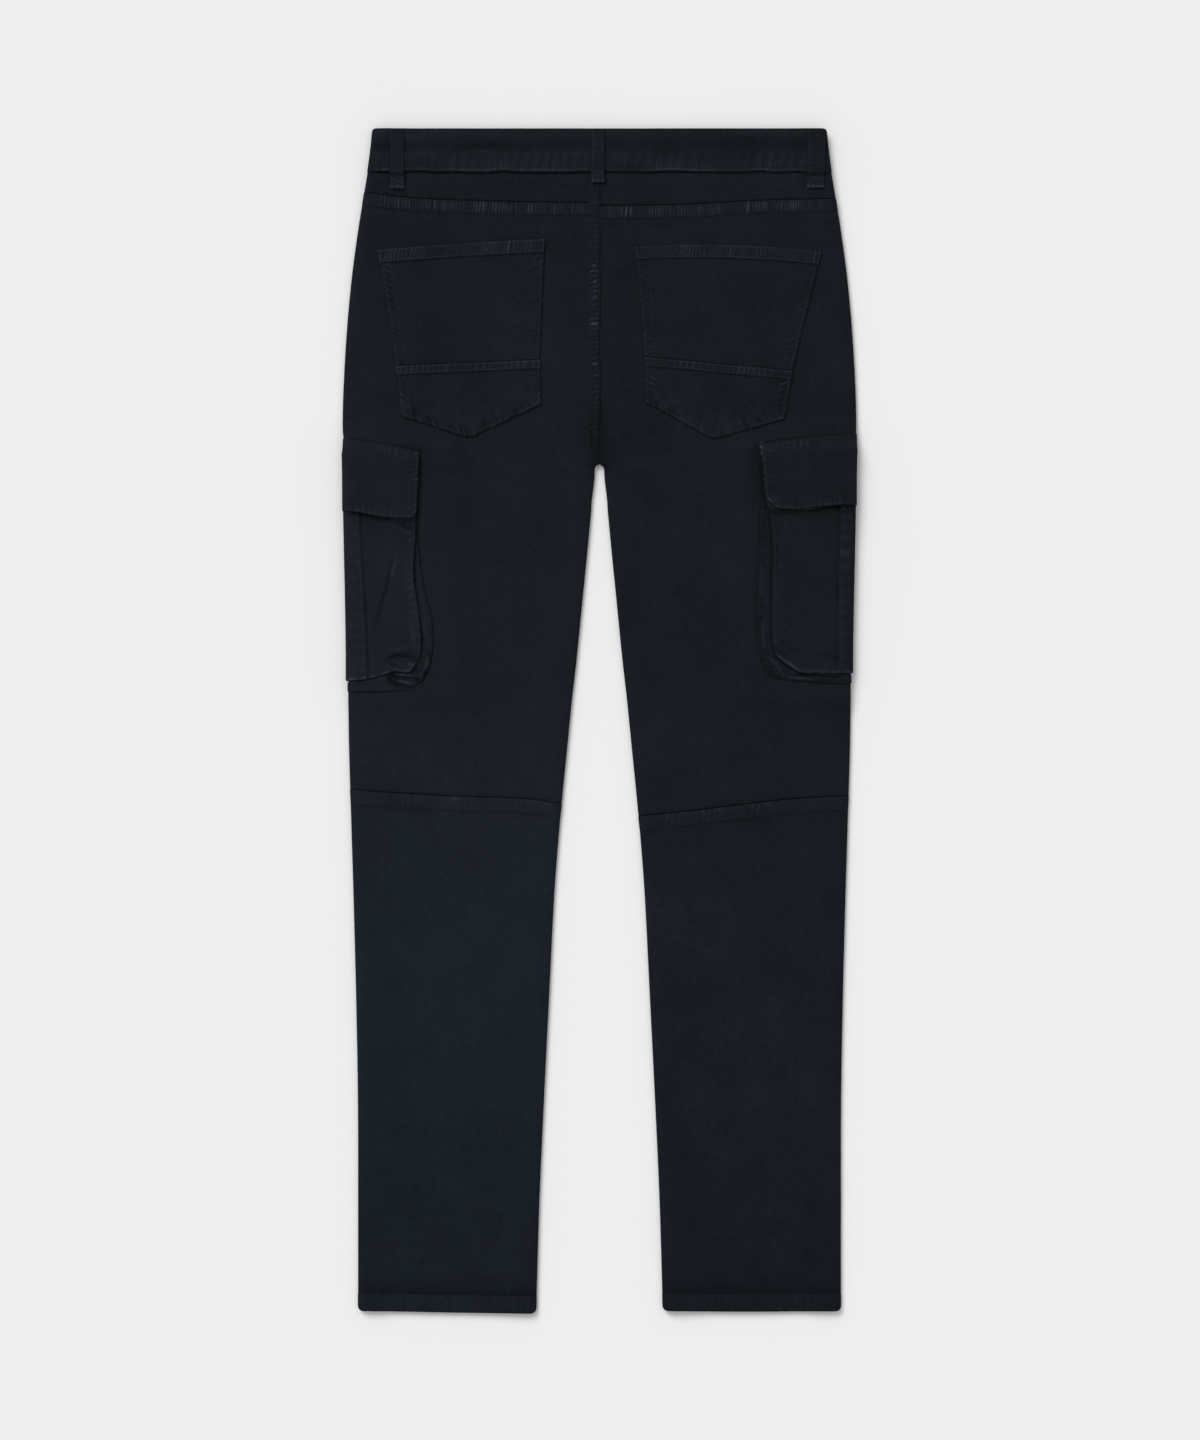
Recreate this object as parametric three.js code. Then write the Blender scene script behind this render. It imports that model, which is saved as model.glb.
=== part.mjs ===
// Men's slim cargo trousers in stretch twill, laid flat and face down, so that the back shows.
//
// Units are millimetres. The trousers lie in the XY plane on z = 0: +Y runs towards the waist, +Z is up,
// and the wearer's left leg is on the -X side. The origin is the middle of the footprint, on the surface.
//
// Each leg is a flattened tube. A place on the cloth is given by
//   q    how far in from the folded side of the leg it lies, seen from above,
//   y    how far up the garment,
//   h    how far out of the cloth's own outer face, so that an inner face has a negative h,
//   face BACK for the upper layer and FRONT for the one underneath.
// Every piece is a closed wall between two values of h. What is sewn on a panel has the panel's points,
// moved out.

import * as THREE from "three";

const BACK = 1;
const FRONT = -1;
const LEFT = -1;
const RIGHT = 1;

// Sizes of the cloth and of what holds it together
const CLOTH = 1.2; // wall of a single twill panel
const SEAM_GAP = 0.3; // between two pieces that meet at a seam
const FELL = 0.8; // how much a felled seam or turned hem stands up
const FELL_EDGE = 0.7; // run of that step
const FOLD_REACH = 11; // how far in the rounded side of a leg reaches
const AIR_REACH = 40; // how far in from the sides the layers come together
const AIR = { middle: 1.2, side: 2.4, seat: 0.4, crotch: 0.6 }; // between the two layers

// Lengths of the garment, as heights up it
const WAIST_TOP = 550.6;
const WAISTBAND_DEEP = 40.7;
const WAIST_SEAM = WAIST_TOP - WAISTBAND_DEEP;
const FRONT_DIP = 12; // the front of the waist is cut lower than the back
const CROTCH = 238.4;
const HEM_DEEP = 17;
const YOKE_FELL = 12; // depths of the felled bands
const KNEE_FELL = 14;
const SEAT_FELL = 10;

// Half of the garment's outline: the outer side of a leg, and its inner side below the crotch
const OUTLINE = [
  { y: 552, outer: 210.4, inner: 0 },
  { y: 526, outer: 213.4, inner: 0 },
  { y: 509, outer: 215.8, inner: 0 },
  { y: 484, outer: 220.0, inner: 0 },
  { y: 456, outer: 224.6, inner: 0 },
  { y: 419, outer: 229.7, inner: 0 },
  { y: 382, outer: 233.5, inner: 0 },
  { y: 345, outer: 236.3, inner: 0 },
  { y: 308, outer: 238.2, inner: 0 },
  { y: 284, outer: 238.0, inner: 0 },
  { y: 268, outer: 236.3, inner: 0 },
  { y: 252, outer: 235.4, inner: 0 },
  { y: 196, outer: 234.6, inner: 7.6 },
  { y: 159, outer: 234.4, inner: 11.1 },
  { y: 112, outer: 234.0, inner: 15.8 },
  { y: 56, outer: 233.2, inner: 21.4 },
  { y: 19, outer: 233.6, inner: 25.6 },
  { y: -27, outer: 233.0, inner: 30.2 },
  { y: -74, outer: 231.6, inner: 34.9 },
  { y: -120, outer: 230.2, inner: 39.0 },
  { y: -166, outer: 228.8, inner: 42.3 },
  { y: -260, outer: 226.4, inner: 47.0 },
  { y: -352, outer: 224.8, inner: 51.6 },
  { y: -445, outer: 224.6, inner: 55.8 },
  { y: -552, outer: 224.6, inner: 59.0 },
];
const NOTCH = 4.4; // half the width of the rounded gap at the top of the legs
const NOTCH_TALL = 5;

// Seams across the back, as heights at distances from the centre line
const YOKE_SEAM = [
  { x: 0, left: 481.6, right: 478.8 },
  { x: 65, left: 482.3, right: 479.7 },
  { x: 105, left: 483.3, right: 481.4 },
  { x: 160, left: 485.2, right: 484.2 },
  { x: 200, left: 488.8, right: 485.0 },
  { x: 224, left: 492.5, right: 485.8 },
];
const KNEE_SEAM = [
  { x: 30, left: -77.6, right: -89.2 },
  { x: 64, left: -73.0, right: -85.9 },
  { x: 87, left: -71.4, right: -83.5 },
  { x: 133, left: -70.2, right: -77.7 },
  { x: 182, left: -67.4, right: -72.3 },
  { x: 211, left: -65.6, right: -70.5 },
  { x: 236, left: -62.5, right: -69.2 },
];
const HEM = [
  { x: 50, left: -551.3, right: -548.6 },
  { x: 130, left: -550.4, right: -549.4 },
  { x: 220, left: -548.8, right: -549.0 },
  { x: 240, left: -548.8, right: -549.0 },
];

// Back pockets: places of the corners, and of the seam between the upper and lower parts
const BACK_POCKET = {
  [LEFT]: {
    topOut: [-206.6, 438.2],
    topMid: [-120, 444.6],
    topIn: [-50.6, 448.2],
    seamOut: [-189.6, 330.2],
    seamIn: [-55.2, 335.8],
    lowOut: [-184.2, 283.2],
    tip: [-121.0, 262.6],
    lowIn: [-53.8, 294.8],
  },
  [RIGHT]: {
    topOut: [206.6, 436.4],
    topMid: [108, 443.0],
    topIn: [32.8, 441.4],
    seamOut: [179.6, 325.8],
    seamIn: [41.8, 338.6],
    lowOut: [173.0, 281.0],
    tip: [106.0, 261.8],
    lowIn: [41.8, 296.6],
  },
};
const POCKET_HEM = 13; // turned top of a back pocket
const POCKET_FELL = 8.6; // felled seam across it

// Cargo pockets, which wrap the side of the leg. q is positive on the back and negative underneath.
const CARGO = {
  [LEFT]: {
    top: 232,
    pleat: [-16, 19],
    rear: [
      { y: 30, q: 64 },
      { y: 52, q: 65.2 },
      { y: 68, q: 68.1 },
      { y: 84, q: 67.6 },
      { y: 109, q: 65.1 },
      { y: 136, q: 62.0 },
      { y: 175, q: 64.8 },
      { y: 240, q: 66 },
    ],
    front: -76,
    bottom: [
      { q: -76, y: 60 },
      { q: -66, y: 46 },
      { q: -40, y: 38 },
      { q: 0, y: 37 },
      { q: 28, y: 41 },
      { q: 43, y: 46 },
      { q: 57, y: 45 },
      { q: 64, y: 52 },
      { q: 69, y: 66 },
    ],
    gusset: [
      { q: 66.0, y: 200, outQ: 68.5, outY: 200 },
      { q: 65.2, y: 184, outQ: 68.0, outY: 184 },
      { q: 64.2, y: 164, outQ: 67.8, outY: 164 },
      { q: 62.3, y: 145, outQ: 69.0, outY: 145 },
      { q: 63.6, y: 120, outQ: 72.4, outY: 120 },
      { q: 65.8, y: 100, outQ: 77.4, outY: 100 },
      { q: 67.8, y: 82, outQ: 79.2, outY: 78 },
      { q: 67.8, y: 66, outQ: 77.6, outY: 57 },
      { q: 64.6, y: 53, outQ: 72.6, outY: 42 },
      { q: 58.0, y: 45.4, outQ: 64.0, outY: 33 },
      { q: 45.0, y: 46, outQ: 51.0, outY: 28 },
      { q: 28.0, y: 41, outQ: 28.0, outY: 26.6 },
      { q: 11.0, y: 38.2, outQ: 11.0, outY: 26.6 },
      { q: 4.0, y: 37.2, outQ: 4.0, outY: 26.8 },
      { q: 1.0, y: 37.1, outQ: 1.0, outY: 26.9 },
      { q: 0.0, y: 37, outQ: 0.0, outY: 27 },
      { q: -1.0, y: 37, outQ: -1.0, outY: 27 },
      { q: -4.0, y: 37.1, outQ: -4.0, outY: 27 },
      { q: -11.0, y: 37.2, outQ: -11.0, outY: 27 },
      { q: -40.0, y: 38, outQ: -42.0, outY: 28 },
      { q: -66.0, y: 46, outQ: -74.0, outY: 36 },
      { q: -76.0, y: 60, outQ: -86.0, outY: 56 },
      { q: -76.0, y: 160, outQ: -87.0, outY: 160 },
    ],
    flap: {
      rear: [
        { y: 187, q: 54 },
        { y: 188.9, q: 61 },
        { y: 193, q: 65.2 },
        { y: 202, q: 66.5 },
        { y: 227, q: 67.6 },
        { y: 262, q: 69.6 },
      ],
      front: -94,
      top: [
        { q: -94, y: 252 },
        { q: -40, y: 261 },
        { q: 0, y: 263 },
        { q: 15, y: 262 },
        { q: 46, y: 256.8 },
        { q: 70, y: 250.5 },
      ],
      bottom: [
        { q: -94, y: 189 },
        { q: -40, y: 194 },
        { q: 0, y: 195 },
        { q: 14, y: 193 },
        { q: 30, y: 190 },
        { q: 56, y: 187.8 },
        { q: 70, y: 188.6 },
      ],
    },
  },
  [RIGHT]: {
    top: 236,
    pleat: [-19, 15],
    rear: [
      { y: 30, q: 66 },
      { y: 56, q: 66 },
      { y: 65, q: 70.7 },
      { y: 84, q: 73.6 },
      { y: 120, q: 73.9 },
      { y: 162, q: 74.2 },
      { y: 186, q: 77.1 },
      { y: 204, q: 81 },
      { y: 240, q: 83 },
    ],
    front: -66,
    bottom: [
      { q: -66, y: 66 },
      { q: -60, y: 52 },
      { q: -45, y: 45 },
      { q: 0, y: 44 },
      { q: 33, y: 44 },
      { q: 46, y: 44.6 },
      { q: 56, y: 50 },
      { q: 65, y: 56 },
      { q: 74, y: 70 },
    ],
    gusset: [
      { q: 82.0, y: 212, outQ: 88.6, outY: 212 },
      { q: 76.9, y: 184, outQ: 88.2, outY: 184 },
      { q: 74.3, y: 164, outQ: 88.0, outY: 164 },
      { q: 73.9, y: 120, outQ: 88.2, outY: 120 },
      { q: 73.6, y: 84, outQ: 88.7, outY: 84 },
      { q: 70.7, y: 65, outQ: 85.8, outY: 63 },
      { q: 65.0, y: 56, outQ: 80.6, outY: 50 },
      { q: 56.0, y: 50, outQ: 73.6, outY: 41.5 },
      { q: 46.0, y: 44.6, outQ: 58.0, outY: 37.4 },
      { q: 33.0, y: 44, outQ: 38.0, outY: 36 },
      { q: 18.0, y: 44, outQ: 20.0, outY: 34.6 },
      { q: 11.0, y: 44, outQ: 11.0, outY: 34.5 },
      { q: 4.0, y: 44, outQ: 4.0, outY: 34.5 },
      { q: 1.0, y: 44, outQ: 1.0, outY: 34.5 },
      { q: 0.0, y: 44, outQ: 0.0, outY: 34.5 },
      { q: -1.0, y: 44, outQ: -1.0, outY: 34.5 },
      { q: -4.0, y: 44, outQ: -4.0, outY: 34.5 },
      { q: -11.0, y: 44.1, outQ: -11.0, outY: 34.5 },
      { q: -45.0, y: 45, outQ: -47.0, outY: 35 },
      { q: -60.0, y: 52, outQ: -68.0, outY: 44 },
      { q: -66.0, y: 66, outQ: -76.0, outY: 62 },
      { q: -66.0, y: 160, outQ: -77.0, outY: 160 },
    ],
    flap: {
      rear: [
        { y: 195, q: 62 },
        { y: 197.5, q: 69 },
        { y: 201, q: 73 },
        { y: 206, q: 77.2 },
        { y: 220, q: 81 },
        { y: 239, q: 84.8 },
        { y: 262, q: 90.4 },
      ],
      front: -74,
      top: [
        { q: -74, y: 258 },
        { q: -30, y: 266 },
        { q: 0, y: 267.6 },
        { q: 36, y: 265.5 },
        { q: 70, y: 261.3 },
        { q: 92, y: 256.8 },
      ],
      bottom: [
        { q: -74, y: 195 },
        { q: 0, y: 200.4 },
        { q: 28, y: 199 },
        { q: 52, y: 196 },
        { q: 66, y: 195.8 },
        { q: 80, y: 197 },
        { q: 92, y: 200 },
      ],
    },
  },
};

// Heights of the cargo pocket's layers over the leg
const BAG_LIFT = 0.4;
const BAG_CLOTH = 1.3;
const PLEAT_OUT = 2.7; // outer face of the box pleat
const GUSSET_OUT = 1.6;
const BELLOWS = 1.5; // how much the folded gusset lifts the rear of the pocket
const FLAP_IN = { [BACK]: 3.5, [FRONT]: 3.0 };
const FLAP_CLOTH = { [BACK]: 1.4, [FRONT]: 1.2 };
const FLAP_OUT_FRONT = FLAP_IN[FRONT] + FLAP_CLOTH[FRONT];
const FLAP_SEWN = 16; // below its seam a flap has risen off the leg
const POCKET_CORNER = 9; // rounding of the flap's lower corners underneath

// How far the front layer is raised off the surface by the pocket underneath it, up the leg
const CARGO_LIFT = [
  { y: 2, lift: 0 },
  { y: 24, lift: PLEAT_OUT },
  { y: 164, lift: PLEAT_OUT },
  { y: 184, lift: FLAP_OUT_FRONT },
  { y: 252, lift: FLAP_OUT_FRONT },
  { y: 268, lift: 1.7 },
  { y: 284, lift: 0 },
];
const CARGO_REACH = { full: 94, none: 122 }; // and how far in from the side of the leg

// Waistband, loops, fly and button
const BAND_OUT = { [BACK]: 1.0, [FRONT]: 0.6 }; // how far the waistband stands out of the panels
const BAND_IN = -1.3;
const WAIST_LIFT = { height: 2.4, from: 440 };
const BELT_LOOP = { wide: 12.5, cloth: 1.5, tab: 12 };
const LOOPS = [
  { name: "loop_back_left", x: -187.9, face: BACK, end: 494.6 },
  { name: "loop_back_centre", x: -1.4, face: BACK, end: 500.2, over: FELL },
  { name: "loop_back_right", x: 200.2, face: BACK, end: 495.2 },
  { name: "loop_front_left", x: -96, face: FRONT, end: 493.6 },
  { name: "loop_front_right", x: 96, face: FRONT, end: 493.6 },
];
const FLY = { wide: 38, end: 336, run: 24, cloth: 1.2, lift: 1.5 };
const BUTTON = { radius: 8.5, thick: 1.4, y: 517, x: -18 };

const TWILL = new THREE.MeshStandardMaterial({ color: 0x1b1f25, roughness: 0.92, metalness: 0 });
const BUTTON_METAL = new THREE.MeshStandardMaterial({ color: 0x2a2b2e, roughness: 0.45, metalness: 0.8 });

const smooth = (t) => (t <= 0 ? 0 : t >= 1 ? 1 : t * t * (3 - 2 * t));
const ramp = (value, from, to) => smooth((value - from) / (to - from));
const slope = (value, from, to) => Math.min(1, Math.max(0, (value - from) / (to - from)));
const mix = (a, b, t) => a + (b - a) * t;
const sideName = (side) => (side === LEFT ? "left" : "right");

// A smooth curve through one column of a table, by the values of its key column.
function curve(table, key, column) {
  const rows = [...table].sort((a, b) => a[key] - b[key]);
  const at = rows.map((r) => r[key]);
  const value = rows.map((r) => r[column]);
  const lean = at.map((_, i) => {
    const a = Math.max(i - 1, 0);
    const b = Math.min(i + 1, at.length - 1);
    return (value[b] - value[a]) / (at[b] - at[a]);
  });
  return (t) => {
    if (t <= at[0]) return value[0];
    if (t >= at[at.length - 1]) return value[value.length - 1];
    const i = at.findIndex((edge) => edge > t) - 1;
    const span = at[i + 1] - at[i];
    const s = (t - at[i]) / span;
    const a = (1 + 2 * s) * (1 - s) * (1 - s);
    const b = s * (1 - s) * (1 - s) * span;
    const c = s * s * (3 - 2 * s);
    const d = s * s * (s - 1) * span;
    return value[i] * a + lean[i] * b + value[i + 1] * c + lean[i + 1] * d;
  };
}

// Straight lines through one column of a table, by the values of its key column.
function straights(table, key, column) {
  return (t) => {
    const next = table.findIndex((row) => row[key] > t);
    if (next === 0) return table[0][column];
    if (next < 0) return table[table.length - 1][column];
    const [a, b] = [table[next - 1], table[next]];
    return mix(a[column], b[column], (t - a[key]) / (b[key] - a[key]));
  };
}

const outerAt = curve(OUTLINE, "y", "outer");
const legInnerAt = curve(OUTLINE.filter((r) => r.y <= 200), "y", "inner");
const acrossBack = (table, side) => curve(table, "x", sideName(side));
const yokeSeam = { [LEFT]: acrossBack(YOKE_SEAM, LEFT), [RIGHT]: acrossBack(YOKE_SEAM, RIGHT) };
const kneeSeam = { [LEFT]: acrossBack(KNEE_SEAM, LEFT), [RIGHT]: acrossBack(KNEE_SEAM, RIGHT) };
const hemLine = { [LEFT]: acrossBack(HEM, LEFT), [RIGHT]: acrossBack(HEM, RIGHT) };

// The inner side of a leg: the centre seam above the crotch, the rounded top of the gap, then the inseam.
function innerAt(y) {
  if (y >= CROTCH) return SEAM_GAP / 2;
  const down = CROTCH - y;
  const round = NOTCH * Math.sqrt(Math.min(1, down / NOTCH_TALL) * (2 - Math.min(1, down / NOTCH_TALL)));
  return Math.max(SEAM_GAP / 2, mix(round, legInnerAt(Math.min(y, 200)), ramp(down, 6, CROTCH - 196)));
}

// How far the inner side is folded over: not at all at the seat, wholly below the crotch.
const foldedIn = (y) => 0.45 * ramp(y, 292, 250) + 0.55 * ramp(y, 246, 226);

// What lies under the front layer lifts it off the surface, so that the underside rests flat.
const cargoLift = straights(CARGO_LIFT, "y", "lift");
function liftAt(side, x, y) {
  const fromSide = outerAt(y) - x;
  const fromInner = x - innerAt(y);
  const pocket = cargoLift(y) * slope(fromSide, CARGO_REACH.none, CARGO_REACH.full);
  const waist = slope(y, WAIST_LIFT.from, WAIST_SEAM);
  const flat = outerAt(y) - innerAt(y) - AIR_REACH;
  const onLeft = slope(fromSide, CARGO_REACH.none, flat);
  const beside = side === LEFT ? onLeft : slope(fromInner, AIR_REACH, FOLD_REACH);
  const fly = beside * slope(y, FLY.end - FLY.run, FLY.end);
  return pocket + WAIST_LIFT.height * waist + FLY.lift * fly * (1 - waist);
}

// The air between the front and back layers.
function airAt(x, y) {
  const side = slope(outerAt(y) - x, AIR_REACH, FOLD_REACH);
  const inner = slope(x - innerAt(y), AIR_REACH, FOLD_REACH);
  const crotch = inner * Math.min(slope(y, 206, 252), slope(y, 312, 252));
  const sides = (AIR.side - AIR.middle) * (side + inner * foldedIn(y));
  return AIR.middle + sides + AIR.seat * slope(y, 184, 284) + AIR.crotch * crotch;
}

// Heights of the outer faces of both layers, and of the seam between them, at a place of the footprint.
function levels(side, x, y) {
  const front = liftAt(side, x, y);
  const air = airAt(x, y);
  return { front, back: front + 2 * CLOTH + air, seam: front + CLOTH + air / 2 };
}

// A point of the cloth. seam is half the gap that two layers keep where they meet at the side.
function skin(side, q, y, h, face, seam = 0) {
  const outer = outerAt(y);
  const inner = innerAt(y);
  const flatX = Math.min(Math.max(outer - q, inner + FOLD_REACH), outer - FOLD_REACH);
  const level = levels(side, flatX, y);
  const rise = (face === BACK ? level.back - level.seam : level.seam - level.front) - seam + h;
  const fromInner = outer - inner - q;
  let x = outer - q;
  let up = rise;
  if (q < FOLD_REACH) {
    const cos = 1 - q / FOLD_REACH;
    x = outer - FOLD_REACH + (FOLD_REACH + h) * cos;
    up = rise * Math.sqrt(1 - cos * cos);
  } else if (fromInner < FOLD_REACH) {
    const cos = Math.min(1, 1 - fromInner / FOLD_REACH);
    const folded = foldedIn(y);
    x = inner + FOLD_REACH - (FOLD_REACH + h * folded) * cos;
    up = rise * (1 - folded * (1 - Math.sqrt(1 - cos * cos)));
  }
  return new THREE.Vector3(side * x, y, Math.max(0, level.seam + face * (seam + up)));
}

// The same, for a place given by its x.
const over = (x, y, h, face = BACK) => skin(x < 0 ? LEFT : RIGHT, outerAt(y) - Math.abs(x), y, h, face);

// A closed wall: a grid of outer points and a grid of inner points, joined round the rim.
function sheet(name, rows, columns, point, material = TWILL) {
  const positions = [];
  for (const outside of [true, false]) {
    for (let i = 0; i < rows; i++) {
      for (let j = 0; j < columns; j++) positions.push(...point(i, j, outside).toArray());
    }
  }
  const half = rows * columns;
  const index = [];
  const quad = (a, b, c, d) => index.push(a, b, c, a, c, d);
  const at = (i, j) => i * columns + j;
  for (let i = 0; i + 1 < rows; i++) {
    for (let j = 0; j + 1 < columns; j++) {
      quad(at(i, j), at(i, j + 1), at(i + 1, j + 1), at(i + 1, j));
      quad(half + at(i, j), half + at(i + 1, j), half + at(i + 1, j + 1), half + at(i, j + 1));
    }
  }
  const rim = [];
  for (let j = 0; j < columns - 1; j++) rim.push(at(0, j));
  for (let i = 0; i < rows - 1; i++) rim.push(at(i, columns - 1));
  for (let j = columns - 1; j > 0; j--) rim.push(at(rows - 1, j));
  for (let i = rows - 1; i > 0; i--) rim.push(at(i, 0));
  rim.forEach((a, k) => {
    const b = rim[(k + 1) % rim.length];
    quad(b, a, half + a, half + b);
  });
  const geometry = new THREE.BufferGeometry();
  geometry.setAttribute("position", new THREE.Float32BufferAttribute(positions, 3));
  geometry.setIndex(index);
  if (volume(positions, index) < 0) {
    for (let k = 0; k < index.length; k += 3) [index[k + 1], index[k + 2]] = [index[k + 2], index[k + 1]];
    geometry.setIndex(index);
  }
  geometry.computeVertexNormals();
  const mesh = new THREE.Mesh(geometry, material);
  mesh.name = name;
  return mesh;
}

function volume(positions, index) {
  const corner = (k) => new THREE.Vector3().fromArray(positions, 3 * index[k]);
  let sum = 0;
  for (let k = 0; k < index.length; k += 3) sum += corner(k).dot(corner(k + 1).cross(corner(k + 2)));
  return sum / 6;
}

// Columns across a leg, close together round its folded sides and at each place where the layers bend.
const ROUND_STEPS = [0, 1, 4, FOLD_REACH];
function columnsAcross(felled = false) {
  const from = [...ROUND_STEPS, AIR_REACH, CARGO_REACH.full, CARGO_REACH.none].map((q) => () => q);
  const to = [AIR_REACH, FOLD_REACH, ...(felled ? [SEAT_FELL] : []), 4, 1, 0];
  return [...from, ...to.map((q) => (outer, inner) => outer - inner - q)];
}

// A panel of one leg, between a lower and an upper line. Rows are a height, or a distance from either line.
function legPanel({ name, side, face, top, bottom, rows, columns, relief = () => 0 }) {
  return sheet(name, rows.length, columns.length, (i, j, outside) => {
    const row = rows[i];
    const guess = row.y ?? (row.top !== undefined ? top(side, 100) : bottom(side, 100));
    const x = outerAt(guess) - columns[j](outerAt(guess), innerAt(guess));
    let y = row.y;
    if (row.top !== undefined) y = top(side, x) - SEAM_GAP / 2 - row.top;
    if (row.bottom !== undefined) y = bottom(side, x) + SEAM_GAP / 2 + row.bottom;
    const q = columns[j](outerAt(y), innerAt(y));
    const h = outside ? relief({ row, q, fromInner: outerAt(y) - innerAt(y) - q, y }) : -CLOTH;
    return skin(side, q, y, h, face, SEAM_GAP / 2);
  });
}

// The front of the waist dips from the sides to the centre.
const dipAt = (x) => FRONT_DIP * ramp(x, 190, 0);
const waistLine = (face) => (side, x) => WAIST_SEAM - (face === FRONT ? dipAt(x) : 0);
const yokeLine = (side, x) => yokeSeam[side](x);
const kneeLine = (side, x) => kneeSeam[side](x);
const hemEdge = (side, x) => hemLine[side](x) - SEAM_GAP / 2;

// Rows down a leg, the same in the front and back layers, at each place where they bend.
const SEAT_ROWS = [WAIST_LIFT.from, 380, FLY.end, FLY.end - FLY.run, 284, 268, 252];
const CROTCH_ROWS = [CROTCH, CROTCH - 1.2, CROTCH - NOTCH_TALL, 224, 206];
const THIGH_ROWS = [184, 164, 110, 60, 24, 2, -35];
const CALF_ROWS = [-140, -250, -352, -450];
const heights = (...lists) => lists.flat().map((y) => ({ y }));

function yoke(side) {
  return legPanel({
    name: `yoke_${sideName(side)}`,
    side,
    face: BACK,
    top: waistLine(BACK),
    bottom: yokeLine,
    rows: [{ top: 0 }, { bottom: 6 }, { bottom: 0 }],
    columns: columnsAcross(true),
    relief: ({ fromInner }) => (side === LEFT && fromInner < SEAT_FELL - 0.1 ? FELL : 0),
  });
}

// Seat and thigh in one panel, with the felled bands at its top and, on the left, at the centre.
function seat(side) {
  return legPanel({
    name: `seat_${sideName(side)}`,
    side,
    face: BACK,
    top: yokeLine,
    bottom: kneeLine,
    rows: [
      { top: 0, felled: true },
      { top: YOKE_FELL, felled: true },
      { top: YOKE_FELL + FELL_EDGE },
      ...heights(SEAT_ROWS, CROTCH_ROWS, THIGH_ROWS),
      { bottom: 0 },
    ],
    columns: columnsAcross(true),
    relief: ({ row, fromInner, y }) => {
      const centre = side === LEFT && fromInner < SEAT_FELL - 0.1 ? FELL * ramp(y, 246, 268) : 0;
      return Math.max(row.felled ? FELL : 0, centre);
    },
  });
}

function calf(side) {
  return legPanel({
    name: `calf_${sideName(side)}`,
    side,
    face: BACK,
    top: kneeLine,
    bottom: hemEdge,
    rows: [
      { top: 0, felled: true },
      { top: KNEE_FELL, felled: true },
      { top: KNEE_FELL + FELL_EDGE },
      ...heights(CALF_ROWS),
      { bottom: HEM_DEEP + FELL_EDGE },
      { bottom: HEM_DEEP, felled: true },
      { bottom: 1.2, felled: true },
      { bottom: 0 },
    ],
    columns: columnsAcross(),
    relief: ({ row }) => (row.felled ? FELL : 0),
  });
}

function front(side) {
  return legPanel({
    name: `front_${sideName(side)}`,
    side,
    face: FRONT,
    top: waistLine(FRONT),
    bottom: hemEdge,
    rows: [{ top: 0 }, ...heights(SEAT_ROWS, CROTCH_ROWS, THIGH_ROWS, CALF_ROWS), { bottom: 0 }],
    columns: columnsAcross(),
  });
}

// Rows down the waistband: how deep they lie, and how the outer face dips at its edges and along its groove
const BAND_ROWS = [
  { deep: 0, dip: -0.5 },
  { deep: 1.6, dip: 0 },
  { deep: 17, dip: 0 },
  { deep: 19, dip: -0.35 },
  { deep: 38.8, dip: 0 },
  { deep: WAISTBAND_DEEP - SEAM_GAP, dip: -0.3 },
];
const BAND_FLATS = 5;

// The waistband of one layer: a half that ends at the centre, or both halves in one piece.
function waistband(name, face, sides) {
  const whole = sides.length === 2;
  const columns = [];
  for (const side of sides) {
    const run = ROUND_STEPS.map((q) => ({ side, q }));
    for (let k = 1; k <= BAND_FLATS; k++) run.push({ side, share: k / BAND_FLATS });
    if (side === RIGHT && whole) run.pop();
    columns.push(...(side === LEFT ? run : run.reverse()));
  }
  const end = whole ? 0 : SEAM_GAP / 2;
  return sheet(name, BAND_ROWS.length, columns.length, (i, j, outside) => {
    const { side, q: fixed, share } = columns[j];
    const { deep, dip } = BAND_ROWS[i];
    const y = WAIST_TOP - deep;
    const q = fixed ?? mix(FOLD_REACH, outerAt(y) - end, share);
    const point = skin(side, q, y, outside ? BAND_OUT[face] + dip : BAND_IN, face, SEAM_GAP / 2);
    if (share !== undefined) point.x = side * (outerAt(y) - q);
    if (face === FRONT) point.y -= dipAt(Math.abs(point.x));
    return point;
  });
}

// A belt loop lies along the waistband and is tacked down at both ends, with its lower end turned under.
function beltLoop({ name, x, face, end, over: felled = 0 }) {
  const start = WAIST_TOP - 0.6 - (face === FRONT ? dipAt(Math.abs(x)) : 0);
  const seam = start - WAISTBAND_DEEP;
  const onBand = BAND_OUT[face] + SEAM_GAP;
  const onPanel = felled + SEAM_GAP + 0.1;
  const rows = [
    { y: start, lift: onBand },
    { y: start - 4, lift: onBand },
    { y: mix(start, seam, 0.5), lift: onBand },
    { y: seam + 1, lift: onBand },
    { y: seam - 2, lift: onBand },
    { y: end + BELT_LOOP.tab * 0.4, lift: onPanel, cloth: 1.7 },
    { y: end, lift: onPanel, cloth: 1.5 },
  ];
  const across = [-0.5, -0.36, 0.36, 0.5];
  return sheet(name, rows.length, across.length, (i, j, outside) => {
    const { y, lift, cloth = BELT_LOOP.cloth } = rows[i];
    const rounded = Math.abs(across[j]) > 0.4 ? 0.4 : 0;
    return over(x + across[j] * BELT_LOOP.wide, y, outside ? lift + cloth - rounded : lift, face);
  });
}

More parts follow.
